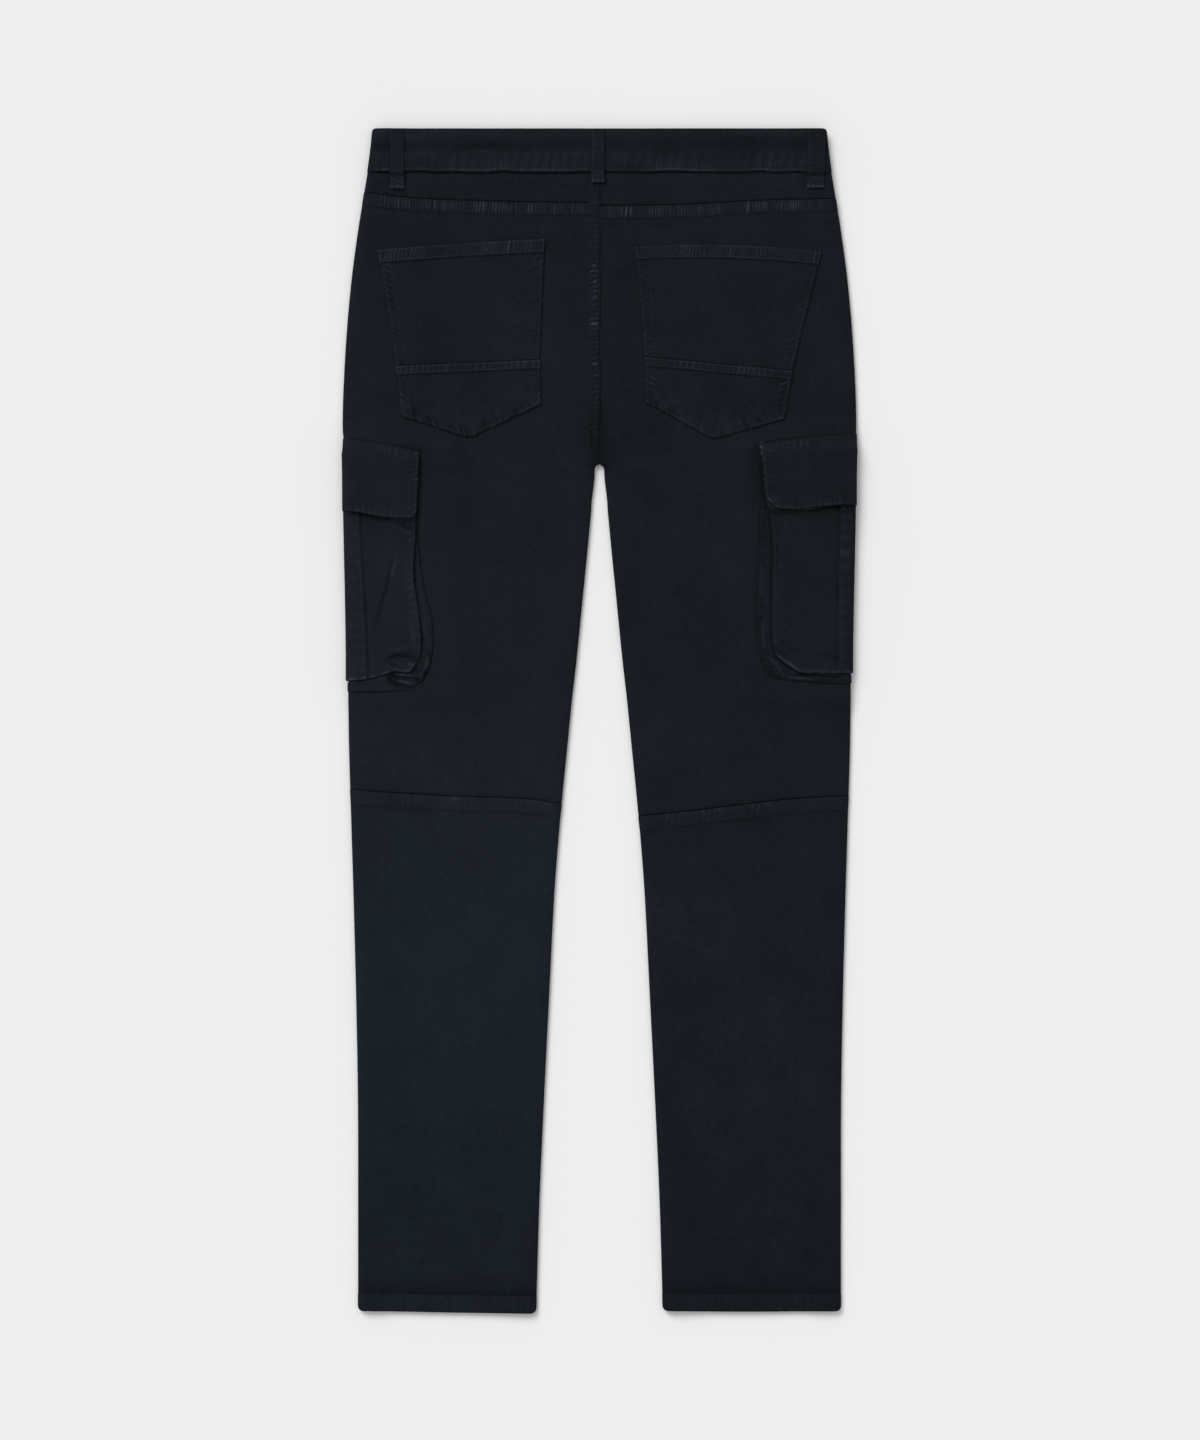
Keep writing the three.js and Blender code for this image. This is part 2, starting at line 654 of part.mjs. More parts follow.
// The fly lies on the left front, along the centre, and ends in a curve.
function fly() {
  const top = WAIST_SEAM - FRONT_DIP - 1;
  const rows = [0, 0.25, 0.5, 0.7, 0.82, 0.91, 0.97, 1];
  const columns = [0, 0.33, 0.66, 1];
  return sheet("fly", rows.length, columns.length, (i, j, outside) => {
    const y = mix(top, FLY.end, rows[i]);
    const curl = Math.min(1, Math.max(0, (rows[i] - 0.7) / 0.3));
    const wide = FLY.wide * Math.max(0.25, Math.sqrt(1 - curl * curl));
    const point = over(-SEAM_GAP - wide * columns[j], y, SEAM_GAP, FRONT);
    const under = Math.max(0, point.z - FLY.cloth);
    if (outside) point.z = under;
    return point;
  });
}

// A back pocket's part, between two lines across it. Its grid runs from the outer side to the inner side.
function backPocketPart({ name, rows, columns, place, relief }) {
  return sheet(name, rows.length, columns.length, (i, j, outside) => {
    const [x, y] = place(rows[i], columns[j]);
    const lift = SEAM_GAP + 0.15;
    return over(x, y, outside ? lift + CLOTH + relief(rows[i], columns[j]) : lift);
  });
}

const along = (a, b, t) => [mix(a[0], b[0], t), mix(a[1], b[1], t)];

// A line through three places, bent at the middle one.
function bent(from, middle, to, t) {
  const share = (middle[0] - from[0]) / (to[0] - from[0]);
  const x = mix(from[0], to[0], t);
  const lifted = middle[1] - mix(from[1], to[1], share);
  return [x, mix(from[1], to[1], t) + (lifted * t * (1 - t)) / (share * (1 - share))];
}

function backPockets(side) {
  const p = BACK_POCKET[side];
  const columns = [0, 0.09, 0.28, 0.5, 0.72, 0.91, 1];
  const seamAt = (t) => along(p.seamOut, p.seamIn, t);
  const topAt = (t) => bent(p.topOut, p.topMid, p.topIn, t);
  const tipShare = (p.tip[0] - p.lowOut[0]) / (p.lowIn[0] - p.lowOut[0]);
  const lowAt = (t) => {
    if (t < tipShare) return along(p.lowOut, p.tip, t / tipShare);
    return along(p.tip, p.lowIn, (t - tipShare) / (1 - tipShare));
  };
  const between = (upper, lower) => (row, t) => {
    const a = upper(t);
    const b = lower(t);
    const tall = a[1] - b[1];
    let share = row.share;
    if (row.top !== undefined) share = row.top / tall;
    if (row.bottom !== undefined) share = 1 - row.bottom / tall;
    return [mix(a[0], b[0], share), mix(a[1], b[1], share)];
  };
  const upper = backPocketPart({
    name: `back_pocket_${sideName(side)}_upper`,
    rows: [
      { top: 0 },
      { top: 1.2, felled: true },
      { top: POCKET_HEM, felled: true },
      { top: POCKET_HEM + FELL_EDGE },
      { share: 0.45 },
      { share: 0.72 },
      { bottom: SEAM_GAP },
    ],
    columns,
    place: between(topAt, seamAt),
    relief: (row) => (row.felled ? FELL : 0),
  });
  const clearOfTip = columns.filter((t) => Math.abs(t - tipShare) > 0.08);
  const lowerColumns = [...clearOfTip, tipShare].sort((a, b) => a - b);
  const lower = backPocketPart({
    name: `back_pocket_${sideName(side)}_lower`,
    rows: [
      { top: 0, felled: true },
      { top: POCKET_FELL, felled: true },
      { top: POCKET_FELL + FELL_EDGE },
      { share: 0.55 },
      { share: 0.8 },
      { share: 1 },
    ],
    columns: lowerColumns,
    place: between(seamAt, lowAt),
    relief: (row) => (row.felled ? FELL : 0),
  });
  return [upper, lower];
}

const BELLOWS_REACH = { none: 30, full: 48 };
const bellows = (q) => BELLOWS * slope(q, BELLOWS_REACH.none, BELLOWS_REACH.full);
const AROUND = [-FOLD_REACH, -4, -1, 0, 1, 4, FOLD_REACH]; // columns round the folded side of the leg

// The cargo pocket's bag: one cloth wrapped round the side of the leg, with a box pleat down its middle.
function cargoBag(side) {
  const bag = CARGO[side];
  const rear = curve(bag.rear, "y", "q");
  const bottom = curve(bag.bottom, "q", "y");
  const [pleatFront, pleatRear] = bag.pleat;
  const last = BELLOWS_REACH.full;
  const columns = [
    ...[bag.front, bag.front + 8, -45, pleatFront - FELL_EDGE].map((q) => ({ q: () => q })),
    ...[pleatFront, ...AROUND, pleatRear].map((q) => ({ q: () => q, pleat: true })),
    ...[pleatRear + FELL_EDGE, BELLOWS_REACH.none, last].map((q) => ({ q: () => q })),
    ...[0.5, 0.85, 1].map((t) => ({ q: (y) => mix(last, rear(y), t) })),
  ];
  const upFromBottom = [0, 6, 16, 30].map((up) => ({ up }));
  const rows = [...upFromBottom, ...heights([110, 164, 184, bag.top])];
  return sheet(`cargo_bag_${sideName(side)}`, rows.length, columns.length, (i, j, outside) => {
    const column = columns[j];
    const y = rows[i].y ?? bottom(column.q(60)) + rows[i].up;
    const q = column.q(y);
    const lift = BAG_LIFT + bellows(q);
    const out = column.pleat ? PLEAT_OUT : lift + BAG_CLOTH;
    return skin(side, Math.abs(q), y, outside ? out : lift, q < 0 ? FRONT : BACK);
  });
}

// The gusset: a folded strip round the open edge of the bag, tucked under it at the back.
function cargoGusset(side) {
  const edge = CARGO[side].gusset;
  const shares = [0, 0.3, 0.7, 1];
  return sheet(`cargo_gusset_${sideName(side)}`, edge.length, shares.length, (i, j, outside) => {
    const { q, y, outQ, outY } = edge[i];
    const wide = Math.hypot(outQ - q, outY - y);
    const tuck = mix(-3 * SEAM_GAP, 3, ramp(q, 50, 56)) / wide;
    const share = mix(-tuck, 1, shares[j]);
    const at = { q: mix(q, outQ, share), y: mix(y, outY, share) };
    return skin(side, Math.abs(at.q), at.y, outside ? GUSSET_OUT : BAG_LIFT, at.q < 0 ? FRONT : BACK);
  });
}

// The flap: sewn to the leg along its top, over the mouth of the bag, and wrapped round the side with it.
function cargoFlap(side) {
  const { flap } = CARGO[side];
  const rear = curve(flap.rear, "y", "q");
  const top = curve(flap.top, "q", "y");
  const bottom = curve(flap.bottom, "q", "y");
  const frontAt = (y) => {
    const up = Math.max(0, Math.min(1, (y - bottom(flap.front)) / POCKET_CORNER));
    return flap.front + POCKET_CORNER * (1 - Math.sqrt(up * (2 - up)));
  };
  const columns = [
    ...[0, 0.04, 0.12, 0.35, 0.68].map((t) => ({ q: (y) => mix(frontAt(y), -FOLD_REACH, t) })),
    ...AROUND.map((q) => ({ q: () => q })),
    ...[0.25, 0.5, 0.72, 0.86, 0.95, 1].map((t) => ({ q: (y) => mix(FOLD_REACH, rear(y), t) })),
  ];
  const rows = [0, 0.02, 0.08, 0.2, 0.5, 0.77, 0.89, 1];
  return sheet(`cargo_flap_${sideName(side)}`, rows.length, columns.length, (i, j, outside) => {
    const column = columns[j];
    const reach = column.q(230);
    const y = mix(bottom(reach), top(reach), rows[i]);
    const q = column.q(y);
    const face = q < 0 ? FRONT : BACK;
    const atSide = slope(q, -4, 4);
    const cloth = mix(FLAP_CLOTH[FRONT], FLAP_CLOTH[BACK], atSide);
    const risen = mix(FLAP_IN[FRONT], FLAP_IN[BACK], atSide);
    const lift = mix(BAG_LIFT, risen, slope(top(q) - y, 0, FLAP_SEWN));
    const edge = rows[i] === 0 || j === 0 || j === columns.length - 1 ? 0.4 : 0;
    return skin(side, Math.abs(q), y, outside ? lift + cloth - edge : lift, face);
  });
}

// The waist button, under the front of the waistband.
function button() {
  const geometry = new THREE.CylinderGeometry(BUTTON.radius, BUTTON.radius, BUTTON.thick, 24);
  const mesh = new THREE.Mesh(geometry, BUTTON_METAL);
  mesh.name = "waist_button";
  mesh.rotation.x = Math.PI / 2;
  mesh.position.set(BUTTON.x, BUTTON.y, BUTTON.thick / 2);
  return mesh;
}

const trousers = new THREE.Group();
trousers.add(waistband("waistband_back", BACK, [LEFT, RIGHT]));
trousers.add(waistband("waistband_front_left", FRONT, [LEFT]));
trousers.add(waistband("waistband_front_right", FRONT, [RIGHT]));
for (const side of [LEFT, RIGHT]) {
  trousers.add(yoke(side), seat(side), calf(side), front(side), ...backPockets(side));
  trousers.add(cargoBag(side), cargoGusset(side), cargoFlap(side));
}
trousers.add(...LOOPS.map(beltLoop), fly(), button());

export default trousers;
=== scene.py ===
"""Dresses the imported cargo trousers: thin twill pieces with their creases, felled seams and sewing, laid flat.

The frame's own units are metres. The cut of the trousers is written in millimetres, as a maker would, and MM
turns it into metres where a mesh is made. The garment lies face down: +Y is up it, towards the waist, the
wearer's left leg is on the -X side, and +Z comes out of its back.

Each leg is a flattened tube. A place on its cloth is q, how far in from the folded outer side it lies, and y, how
far up the garment. h is how far out of the leg's own outer face something stands.
"""

import math

import bmesh
import bpy
import numpy as np
from bpy.props import FloatProperty, FloatVectorProperty, PointerProperty
from mathutils import Matrix, Vector


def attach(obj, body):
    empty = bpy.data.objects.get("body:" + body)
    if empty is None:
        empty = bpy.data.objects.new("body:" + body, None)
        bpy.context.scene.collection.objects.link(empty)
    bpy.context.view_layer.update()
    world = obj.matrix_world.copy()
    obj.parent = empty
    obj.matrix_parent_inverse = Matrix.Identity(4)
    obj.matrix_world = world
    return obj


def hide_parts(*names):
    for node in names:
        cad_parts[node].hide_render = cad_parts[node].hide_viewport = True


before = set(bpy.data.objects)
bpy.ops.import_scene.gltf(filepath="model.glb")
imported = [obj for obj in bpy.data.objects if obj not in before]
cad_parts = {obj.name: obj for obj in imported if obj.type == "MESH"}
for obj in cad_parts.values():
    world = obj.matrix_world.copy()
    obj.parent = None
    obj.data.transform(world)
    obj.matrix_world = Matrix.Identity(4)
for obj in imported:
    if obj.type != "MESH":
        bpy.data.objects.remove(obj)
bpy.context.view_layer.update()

bl_info = {
    "name": "Cargo trousers, laid flat",
    "version": (1, 0, 0),
    "blender": (4, 5, 0),
    "location": "View3D > Sidebar > Trousers",
    "description": "Builds the cloth, seams and sewing of a pair of cargo trousers on its packed frame",
    "category": "Object",
}

MM = 0.001
BACK, FRONT = 1, -1
LEFT, RIGHT = -1, 1
SIDES = (LEFT, RIGHT)

# The cloth and what holds it together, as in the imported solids
CLOTH = 1.2
SEAM_GAP = 0.3
FELL = 0.8
FOLD_REACH = 11
AIR_REACH = 40
AIR_MIDDLE, AIR_SIDE, AIR_SEAT, AIR_CROTCH = 1.2, 2.4, 0.4, 0.6
WAIST_TOP, BAND_DEEP = 550.6, 40.7
WAIST_SEAM = WAIST_TOP - BAND_DEEP
FRONT_DIP = 12
CROTCH = 238.4
NOTCH, NOTCH_TALL = 4.4, 5
CROTCH_ROWS = [CROTCH - down for down in (-1, 0, 0.12, 0.35, 0.8, 1.4, 2.2, 3.2, 4.4, 6, 8)]
HEM_DEEP, HEM_CORNER, WAIST_CORNER = 17, 5, 2.8
YOKE_FELL, KNEE_FELL, SEAT_FELL, SEAT_LAP = 12.4, 14, 10.4, 0.55
WAIST_LIFT, WAIST_LIFT_FROM = 2.4, 440

# Half of the outline: y, the outer side of a leg, and its inner side below the crotch
OUTLINE = (
    (552, 210.4, 0),
    (526, 213.4, 0),
    (509, 215.8, 0),
    (484, 220.0, 0),
    (456, 224.6, 0),
    (419, 229.7, 0),
    (382, 233.5, 0),
    (345, 236.3, 0),
    (308, 238.2, 0),
    (284, 238.9, 0),
    (268, 238.6, 0),
    (254, 236.6, 0),
    (232, 235.8, 0),
    (196, 235.6, 7.6),
    (159, 235.0, 11.1),
    (112, 234.0, 15.8),
    (56, 233.2, 21.4),
    (19, 233.6, 25.6),
    (-27, 233.0, 30.2),
    (-74, 231.6, 34.9),
    (-120, 230.2, 39.0),
    (-166, 228.8, 42.3),
    (-260, 226.4, 47.0),
    (-352, 224.8, 51.6),
    (-445, 224.6, 55.8),
    (-552, 224.6, 59.0),
)

# Seams across the back: distance from the centre, then the height on the left and on the right
YOKE_SEAM = (
    (0, 481.6, 478.8),
    (65, 482.3, 479.7),
    (105, 483.3, 481.4),
    (160, 485.2, 484.2),
    (200, 488.8, 485.0),
    (224, 492.5, 485.8),
)
KNEE_SEAM = (
    (30, -77.6, -89.2),
    (64, -73.0, -85.9),
    (87, -71.4, -83.5),
    (133, -70.2, -77.7),
    (182, -67.4, -72.3),
    (211, -65.6, -70.5),
    (236, -62.5, -69.2),
)
HEM = (
    (50, -551.3, -548.6),
    (130, -550.4, -549.4),
    (220, -548.8, -549.0),
    (240, -548.8, -549.0),
)

# Back pockets: the corners, and the ends of the seam across
POCKETS = {
    LEFT: {
        "top_out": (-206.6, 438.2),
        "top_mid": (-120, 444.6),
        "top_in": (-50.6, 448.2),
        "seam_out": (-189.6, 330.2),
        "seam_in": (-55.2, 335.8),
        "low_out": (-184.2, 283.2),
        "tip": (-121.0, 262.6),
        "low_in": (-53.8, 294.8),
    },
    RIGHT: {
        "top_out": (206.6, 436.4),
        "top_mid": (108, 443.0),
        "top_in": (32.8, 441.4),
        "seam_out": (179.6, 325.8),
        "seam_in": (41.8, 338.6),
        "low_out": (173.0, 281.0),
        "tip": (106.0, 261.8),
        "low_in": (41.8, 296.6),
    },
}
POCKET_HEM, POCKET_FELL = 13, 8.8
POCKET_LIFT = 0.45

# Cargo pockets wrap the side of the leg: q is positive on the back and negative underneath
BAG_LIFT, BAG_CLOTH, PLEAT_OUT = 0.4, 1.3, 2.7
GUSSET_OUT, BELLOWS = 1.6, 1.5
FLAP_LIFT = {BACK: 3.5, FRONT: 3.0}
FLAP_CLOTH = {BACK: 1.4, FRONT: 1.2}
FLAP_FRONT = FLAP_LIFT[FRONT] + FLAP_CLOTH[FRONT]
FLAP_SEWN = 16
CARGO_LIFT = (
    (2, 0),
    (24, PLEAT_OUT),
    (164, PLEAT_OUT),
    (184, FLAP_FRONT),
    (252, FLAP_FRONT),
    (268, 1.7),
    (284, 0),
)
CARGO_FULL, CARGO_NONE = 94, 122
# For each pocket, the first three entries set how pale the ridges along the bag's rear edge are, partly as painted
# highlight, how strongly the creases are painted in shade and highlight, and how pale the pleat's blocks are.
CARGO = {
    LEFT: {
        "rubbed_and_lit": 0.3,
        "folded": 0.42,
        "pleat_blocks": 0.13,
        "top": 232,
        "pleat": (-16, 19),
        # q of the pleat's edge, at the flap and at the bottom
        "pleat_line": (12.6, 17.4),
        "front": -76,
        # height, q
        "rear": ((30, 64), (52, 65.2), (68, 68.1), (84, 67.6), (109, 65.1), (136, 62.0), (175, 64.8), (240, 66)),
        # q, height
        "bottom": ((-76, 60), (-66, 46), (-40, 38), (0, 37), (28, 41), (43, 46), (57, 45), (64, 52), (69, 66)),
        # q and height of the bag's edge, then of the gusset's outer edge
        "gusset": (
            (66.0, 200, 68.5, 200),
            (65.2, 184, 68.0, 184),
            (64.2, 164, 67.8, 164),
            (62.3, 145, 69.0, 145),
            (63.6, 120, 72.4, 120),
            (65.8, 100, 77.4, 100),
            (67.8, 82, 79.2, 78),
            (67.8, 66, 77.6, 57),
            (64.6, 53, 72.6, 42),
            (58.0, 45.4, 64.0, 33),
            (45.0, 46, 51.0, 28),
            (28.0, 41, 28.0, 26.6),
            (11.0, 38.2, 11.0, 26.6),
            (0.0, 37, 0.0, 27),
            (-11.0, 37.2, -11.0, 27),
            (-40.0, 38, -42.0, 28),
            (-66.0, 46, -74.0, 36),
            (-76.0, 60, -86.0, 56),
            (-76.0, 160, -87.0, 160),
        ),
        "flap_rear": ((187, 54), (188.9, 61), (193, 65.2), (202, 66.5), (227, 67.6), (262, 69.6)),
        "flap_wave": 0.2,
        "flap_front": -94,
        "flap_top": ((-94, 252), (-40, 261), (0, 263), (15, 262), (46, 256.8), (70, 250.5)),
        "flap_bottom": ((-94, 189), (-40, 194), (0, 195), (14, 193), (30, 190), (56, 187.8), (70, 188.6)),
    },
    RIGHT: {
        "rubbed_and_lit": 0.12,
        "folded": 0.24,
        "pleat_blocks": 0.32,
        "top": 236,
        "pleat": (-19, 15),
        "pleat_line": (11.6, 11.6),
        "front": -66,
        "rear": (
            (30, 66),
            (56, 66),
            (65, 70.7),
            (84, 73.6),
            (120, 73.9),
            (162, 74.2),
            (186, 77.1),
            (204, 81),
            (240, 83),
        ),
        "bottom": ((-66, 66), (-60, 52), (-45, 45), (0, 44), (33, 44), (46, 44.6), (56, 50), (65, 56), (74, 70)),
        "gusset": (
            (82.0, 212, 84.6, 212),
            (79.0, 200, 87.0, 198),
            (76.9, 184, 88.2, 184),
            (74.3, 164, 88.0, 164),
            (73.9, 120, 88.2, 120),
            (73.6, 84, 88.7, 84),
            (70.7, 65, 85.8, 63),
            (65.0, 56, 80.6, 50),
            (56.0, 50, 73.6, 41.5),
            (46.0, 44.6, 58.0, 37.4),
            (33.0, 44, 38.0, 36),
            (18.0, 44, 20.0, 34.6),
            (11.0, 44, 11.0, 34.5),
            (0.0, 44, 0.0, 34.5),
            (-11.0, 44.1, -11.0, 34.5),
            (-45.0, 45, -47.0, 35),
            (-60.0, 52, -68.0, 44),
            (-66.0, 66, -76.0, 62),
            (-66.0, 160, -77.0, 160),
        ),
        "flap_rear": (
            (195.9, 58),
            (196.4, 63),
            (197.8, 69),
            (199.4, 72.4),
            (201.4, 75.6),
            (204.2, 78.9),
            (207.3, 81),
            (213.3, 82.6),
            (226, 83.6),
            (239, 84.8),
            (262, 90.4),
        ),
        "flap_wave": 0.6,
        "flap_front": -74,
        "flap_top": ((-74, 258), (-30, 266), (0, 267.6), (36, 265.5), (70, 261.3), (92, 256.8)),
        "flap_bottom": ((-74, 195), (0, 200.4), (28, 199), (52, 196), (66, 195.8), (80, 197), (92, 200)),
    },
}
FLAP_CORNER, FLAP_PRESSED = 9, 1.0

# Rows of stitches: how far in from an edge, from a pleat, and below the top of the waistband
STITCH_IN, PLEAT_ROW, WAIST_ROW = 1.7, 2.6, 37.0
POCKET_ROWS = (0.018, 0.07)
DARK_ROWS = ("stitches_hems", "stitches_knees", "stitches_waistband", "stitches_yoke")
DARK_ROWS += ("stitches_seat", "stitches_loops", "stitches_cargo_inner")

# Waistband, loops, fly and button
BAND_OUT = {BACK: 1.0, FRONT: 0.6}
LOOP_CLOTH, LOOP_TAB = 1.5, 12
# node, x, face, lower end, what it is tacked over, width
LOOPS = (
    ("loop_back_left", -187.9, BACK, 494.6, 0, 13),
    ("loop_back_centre", -1.4, BACK, 500.2, FELL, 12.5),
    ("loop_back_right", 200.6, BACK, 495.2, 0, 15.6),
    ("loop_front_left", -96, FRONT, 493.6, 0, 12.5),
    ("loop_front_right", 96, FRONT, 493.6, 0, 12.5),
)
FLY_WIDE, FLY_END, FLY_RUN, FLY_LIFT = 38, 336, 24, 1.5
BUTTON_X, BUTTON_Y, BUTTON_RADIUS, BUTTON_THICK = -18, 517, 8.5, 1.4

# How far the dye has faded: height, and the share on the left and on the right. The left leg's higher share is partly
# painted light, as if light fell from the left.
FADED_AND_LIT = (
    (-552, 0.19, 0.12),
    (-400, 0.27, 0.18),
    (-220, 0.335, 0.2),
    (-90, 0.3, 0.2),
    (60, 0.22, 0.175),
    (200, 0.21, 0.17),
    (330, 0.185, 0.15),
    (470, 0.165, 0.16),
    (552, 0.16, 0.15),
)

# Creases of the seat and thighs: from x, y to x, y, half width, height and bow
SEAT_CREASES = (
    (-7.5, 290, -5.0, 243, 1.5, -0.9, 0.6),
    (1.6, 286, 0.6, 246, 1.4, -0.8, -0.5),
    (-2.6, 282, -2.6, 244, 1.6, 0.5, 0),
    (-12, 262, -44, 286, 4.5, 0.35, 3),
    (-10, 250, -58, 262, 5.5, -0.35, -4),
    (-14, 236, -60, 244, 6.0, 0.3, 3),
    (10, 262, 40, 290, 4.5, 0.35, -3),
    (12, 250, 60, 268, 6.0, -0.35, 4),
    (16, 238, 70, 240, 6.5, 0.3, -4),
    (-30, 200, -70, 232, 8, -0.25, 3),
    (34, 190, 82, 226, 9, -0.25, -4),
    (-150, 250, -120, 232, 6, 0.25, 0),
    (-96, 20, -40, 34, 9, -0.22, 3),
    (-200, -20, -120, -30, 9, 0.22, 3),
    (60, 6, 128, 16, 10, -0.22, -3),
    (140, -22, 214, -30, 9, 0.22, 3),
    (150, 250, 122, 228, 7, -0.3, 3),
)
CALF_CREASES = (
    (-60, -130, -84, -210, 9, -0.25, 5),
    (-212, -190, -150, -200, 8, -0.25, 4),
    (-120, -300, -110, -420, 14, 0.25, 6),
    (76, -120, 96, -220, 10, -0.22, -5),
    (150, -110, 168, -200, 12, 0.25, 5),
    (120, -330, 126, -470, 14, 0.22, -6),
    (-214, -520, -160, -510, 7, -0.2, 3),
)
# Each cloth piece, the node it stands for, its cut's width, length and share of that rectangle, what it lies on,
# and what is sewn on it
CUTS = (
    ("back_waistband", "waistband_back", 426, 40.4, 1, "front_waistband_left", ("stitches_waistband",)),
    ("front_waistband_left", "waistband_front_left", 214, 40.4, 1, "front_panel_left", ()),
    ("front_waistband_right", "waistband_front_right", 214, 40.4, 1, "front_panel_right", ()),
    ("belt_loop_back_left", "loop_back_left", 13, 55.5, 1, "back_waistband", ("stitches_loops",)),
    ("belt_loop_back_centre", "loop_back_centre", 12.5, 50, 1, "back_waistband", ()),
    ("belt_loop_back_right", "loop_back_right", 15.6, 55, 1, "back_waistband", ()),
    ("belt_loop_front_left", "loop_front_left", 12.5, 50, 1, "front_waistband_left", ()),
    ("belt_loop_front_right", "loop_front_right", 12.5, 50, 1, "front_waistband_right", ()),
    ("yoke_panel_left", "yoke_left", 226, 25, 0.95, "front_panel_left", ("yoke_seam_left", "stitches_yoke")),
    ("yoke_panel_right", "yoke_right", 226, 27, 0.95, "front_panel_right", ("yoke_seam_right",)),
    ("seat_panel_left", "seat_left", 243, 556, 0.93, "front_panel_left", ("seat_seam_centre", "stitches_seat")),
    ("seat_panel_right", "seat_right", 243, 562, 0.93, "front_panel_right", ()),
    ("calf_panel_left", "calf_left", 205, 480, 0.92, "front_panel_left", ("knee_seam_left", "hem_back_left")),
    ("calf_panel_right", "calf_right", 205, 470, 0.92, "front_panel_right", ("knee_seam_right", "hem_back_right")),
    ("front_panel_left", "front_left", 243, 1058, 0.9, "floor", ()),
    ("front_panel_right", "front_right", 243, 1058, 0.9, "floor", ()),
    ("fly_placket", "fly", 38, 160, 0.9, "front_panel_left", ()),
    ("pocket_upper_left", "back_pocket_left_upper", 156, 113, 0.93, "seat_panel_left", ("pocket_hem_left",)),
    ("pocket_upper_right", "back_pocket_right_upper", 174, 109, 0.9, "seat_panel_right", ("pocket_hem_right",)),
    ("pocket_lower_left", "back_pocket_left_lower", 135, 72, 0.8, "seat_panel_left", ("pocket_seam_left",)),
    ("pocket_lower_right", "back_pocket_right_lower", 138, 76, 0.8, "seat_panel_right", ("pocket_seam_right",)),
    ("bag_left", "cargo_bag_left", 145, 195, 0.95, "seat_panel_left",
     ("stitches_cargo_pockets", "stitches_cargo_inner")),
    ("bag_right", "cargo_bag_right", 145, 192, 0.95, "seat_panel_right", ()),
    ("gusset_left", "cargo_gusset_left", 12, 405, 0.9, "seat_panel_left", ()),
    ("gusset_right", "cargo_gusset_right", 14, 390, 0.85, "seat_panel_right", ()),
    ("flap_left", "cargo_flap_left", 164, 72, 0.93, "bag_left", ()),
    ("flap_right", "cargo_flap_right", 160, 70, 0.93, "bag_right", ()),
)

# Creases of the cargo pockets, in q and y
BAG_CREASES = {
    LEFT: (
        (43, 154, 38.5, 134, 1.5, -0.5, 0.5),
        (39, 138, 32, 110, 1.5, -0.75, 1.2),
        (32.5, 114, 26, 90, 2.2, -0.45, 0.8),
        (45.5, 152, 40, 130, 2.4, 0.5, 1.0),
        (49, 179, 62, 173, 1.1, 0.9, -1.2),
        (50, 182.5, 64, 178, 1.5, -0.5, 0),
        (42, 54.5, 64, 45, 1.3, 1.0, -1.5),
        (34, 50.5, 50, 44, 1.2, 0.9, 2.4),
        (35, 57.5, 63, 58, 1.6, -1.2, 2.8),
        (60.5, 59.5, 67, 51, 1.5, -1.1, 0.6),
        (38, 52.5, 56, 47.5, 1.1, -1.1, 0),
        (54, 54.5, 65, 50, 1.9, 1.1, 0.5),
        (40, 63, 60, 66, 2.0, 0.35, 1.5),
        (54, 56, 66, 50, 1.3, -0.8, 1.0),
        (56, 96, 62, 66, 1.7, 0.45, 1.0),
    ),
    RIGHT: (
        (72, 190, 69, 168, 1.6, -0.6, 0.6),
        (70, 172, 69, 128, 1.4, -0.5, 0),
        (58, 74, 70, 66, 1.8, -0.5, 1.0),
        (44, 66, 60, 62, 2.4, -0.45, 1.0),
        (76, 63, 48, 46, 1.2, 0.9, -1.6),
        (72, 68, 58, 56, 1.4, -0.7, -1.0),
        (50, 46.5, 22, 46.5, 1.3, 0.6, 0),
        (28, 62, 8, 58, 2.4, -0.35, 0),
        (62, 96, 52, 92, 3.0, -0.35, 1.5),
    ),
}
GUSSET_CREASES = {
    LEFT: (
        (38, 46, 46.5, 39.8, 1.5, -1.1, -0.8),
        (44, 40.2, 68, 37.2, 1.5, -1.1, 0.6),
        (45, 43, 62, 40.8, 1.3, 0.8, 0.5),
        (45, 37, 59, 33.8, 1.4, 1.0, 0.5),
        (36, 42.5, 46, 33.6, 1.5, -1.1, -1.2),
        (43, 34.2, 59, 31, 1.5, -1.0, 0.6),
        (74.5, 57, 71.5, 48, 1.5, 0.6, 0),
        (79.5, 54, 70.5, 39.5, 1.4, -0.9, 0),
        (75.6, 49.5, 69, 40, 1.2, -0.8, 0),
        (22, 40, 36, 41, 1.6, 0.4, 0),
        (74, 66, 79, 50, 1.6, -0.6, 0),
        (70, 96, 74, 70, 1.3, 0.3, 0),
    ),
    RIGHT: (
        (78, 60, 62, 42, 1.2, 0.8, -1.6),
        (60, 40.5, 34, 38.5, 1.1, 0.7, 0),
        (56, 43, 4, 40.5, 0.9, -0.9, 0),
        (82, 92, 80, 66, 1.4, 0.6, 0),
        (84, 150, 83, 112, 1.5, 0.5, 0),
    ),
}
FLAP_CREASES = {
    LEFT: ((60, 240, 56, 200, 2.2, -0.3, 1), (40, 246, 12, 250, 2.0, -0.25, 0)),
    RIGHT: ((78, 236, 70, 206, 2.2, -0.3, 1), (70, 252, 20, 255, 2.2, -0.3, 0)),
}


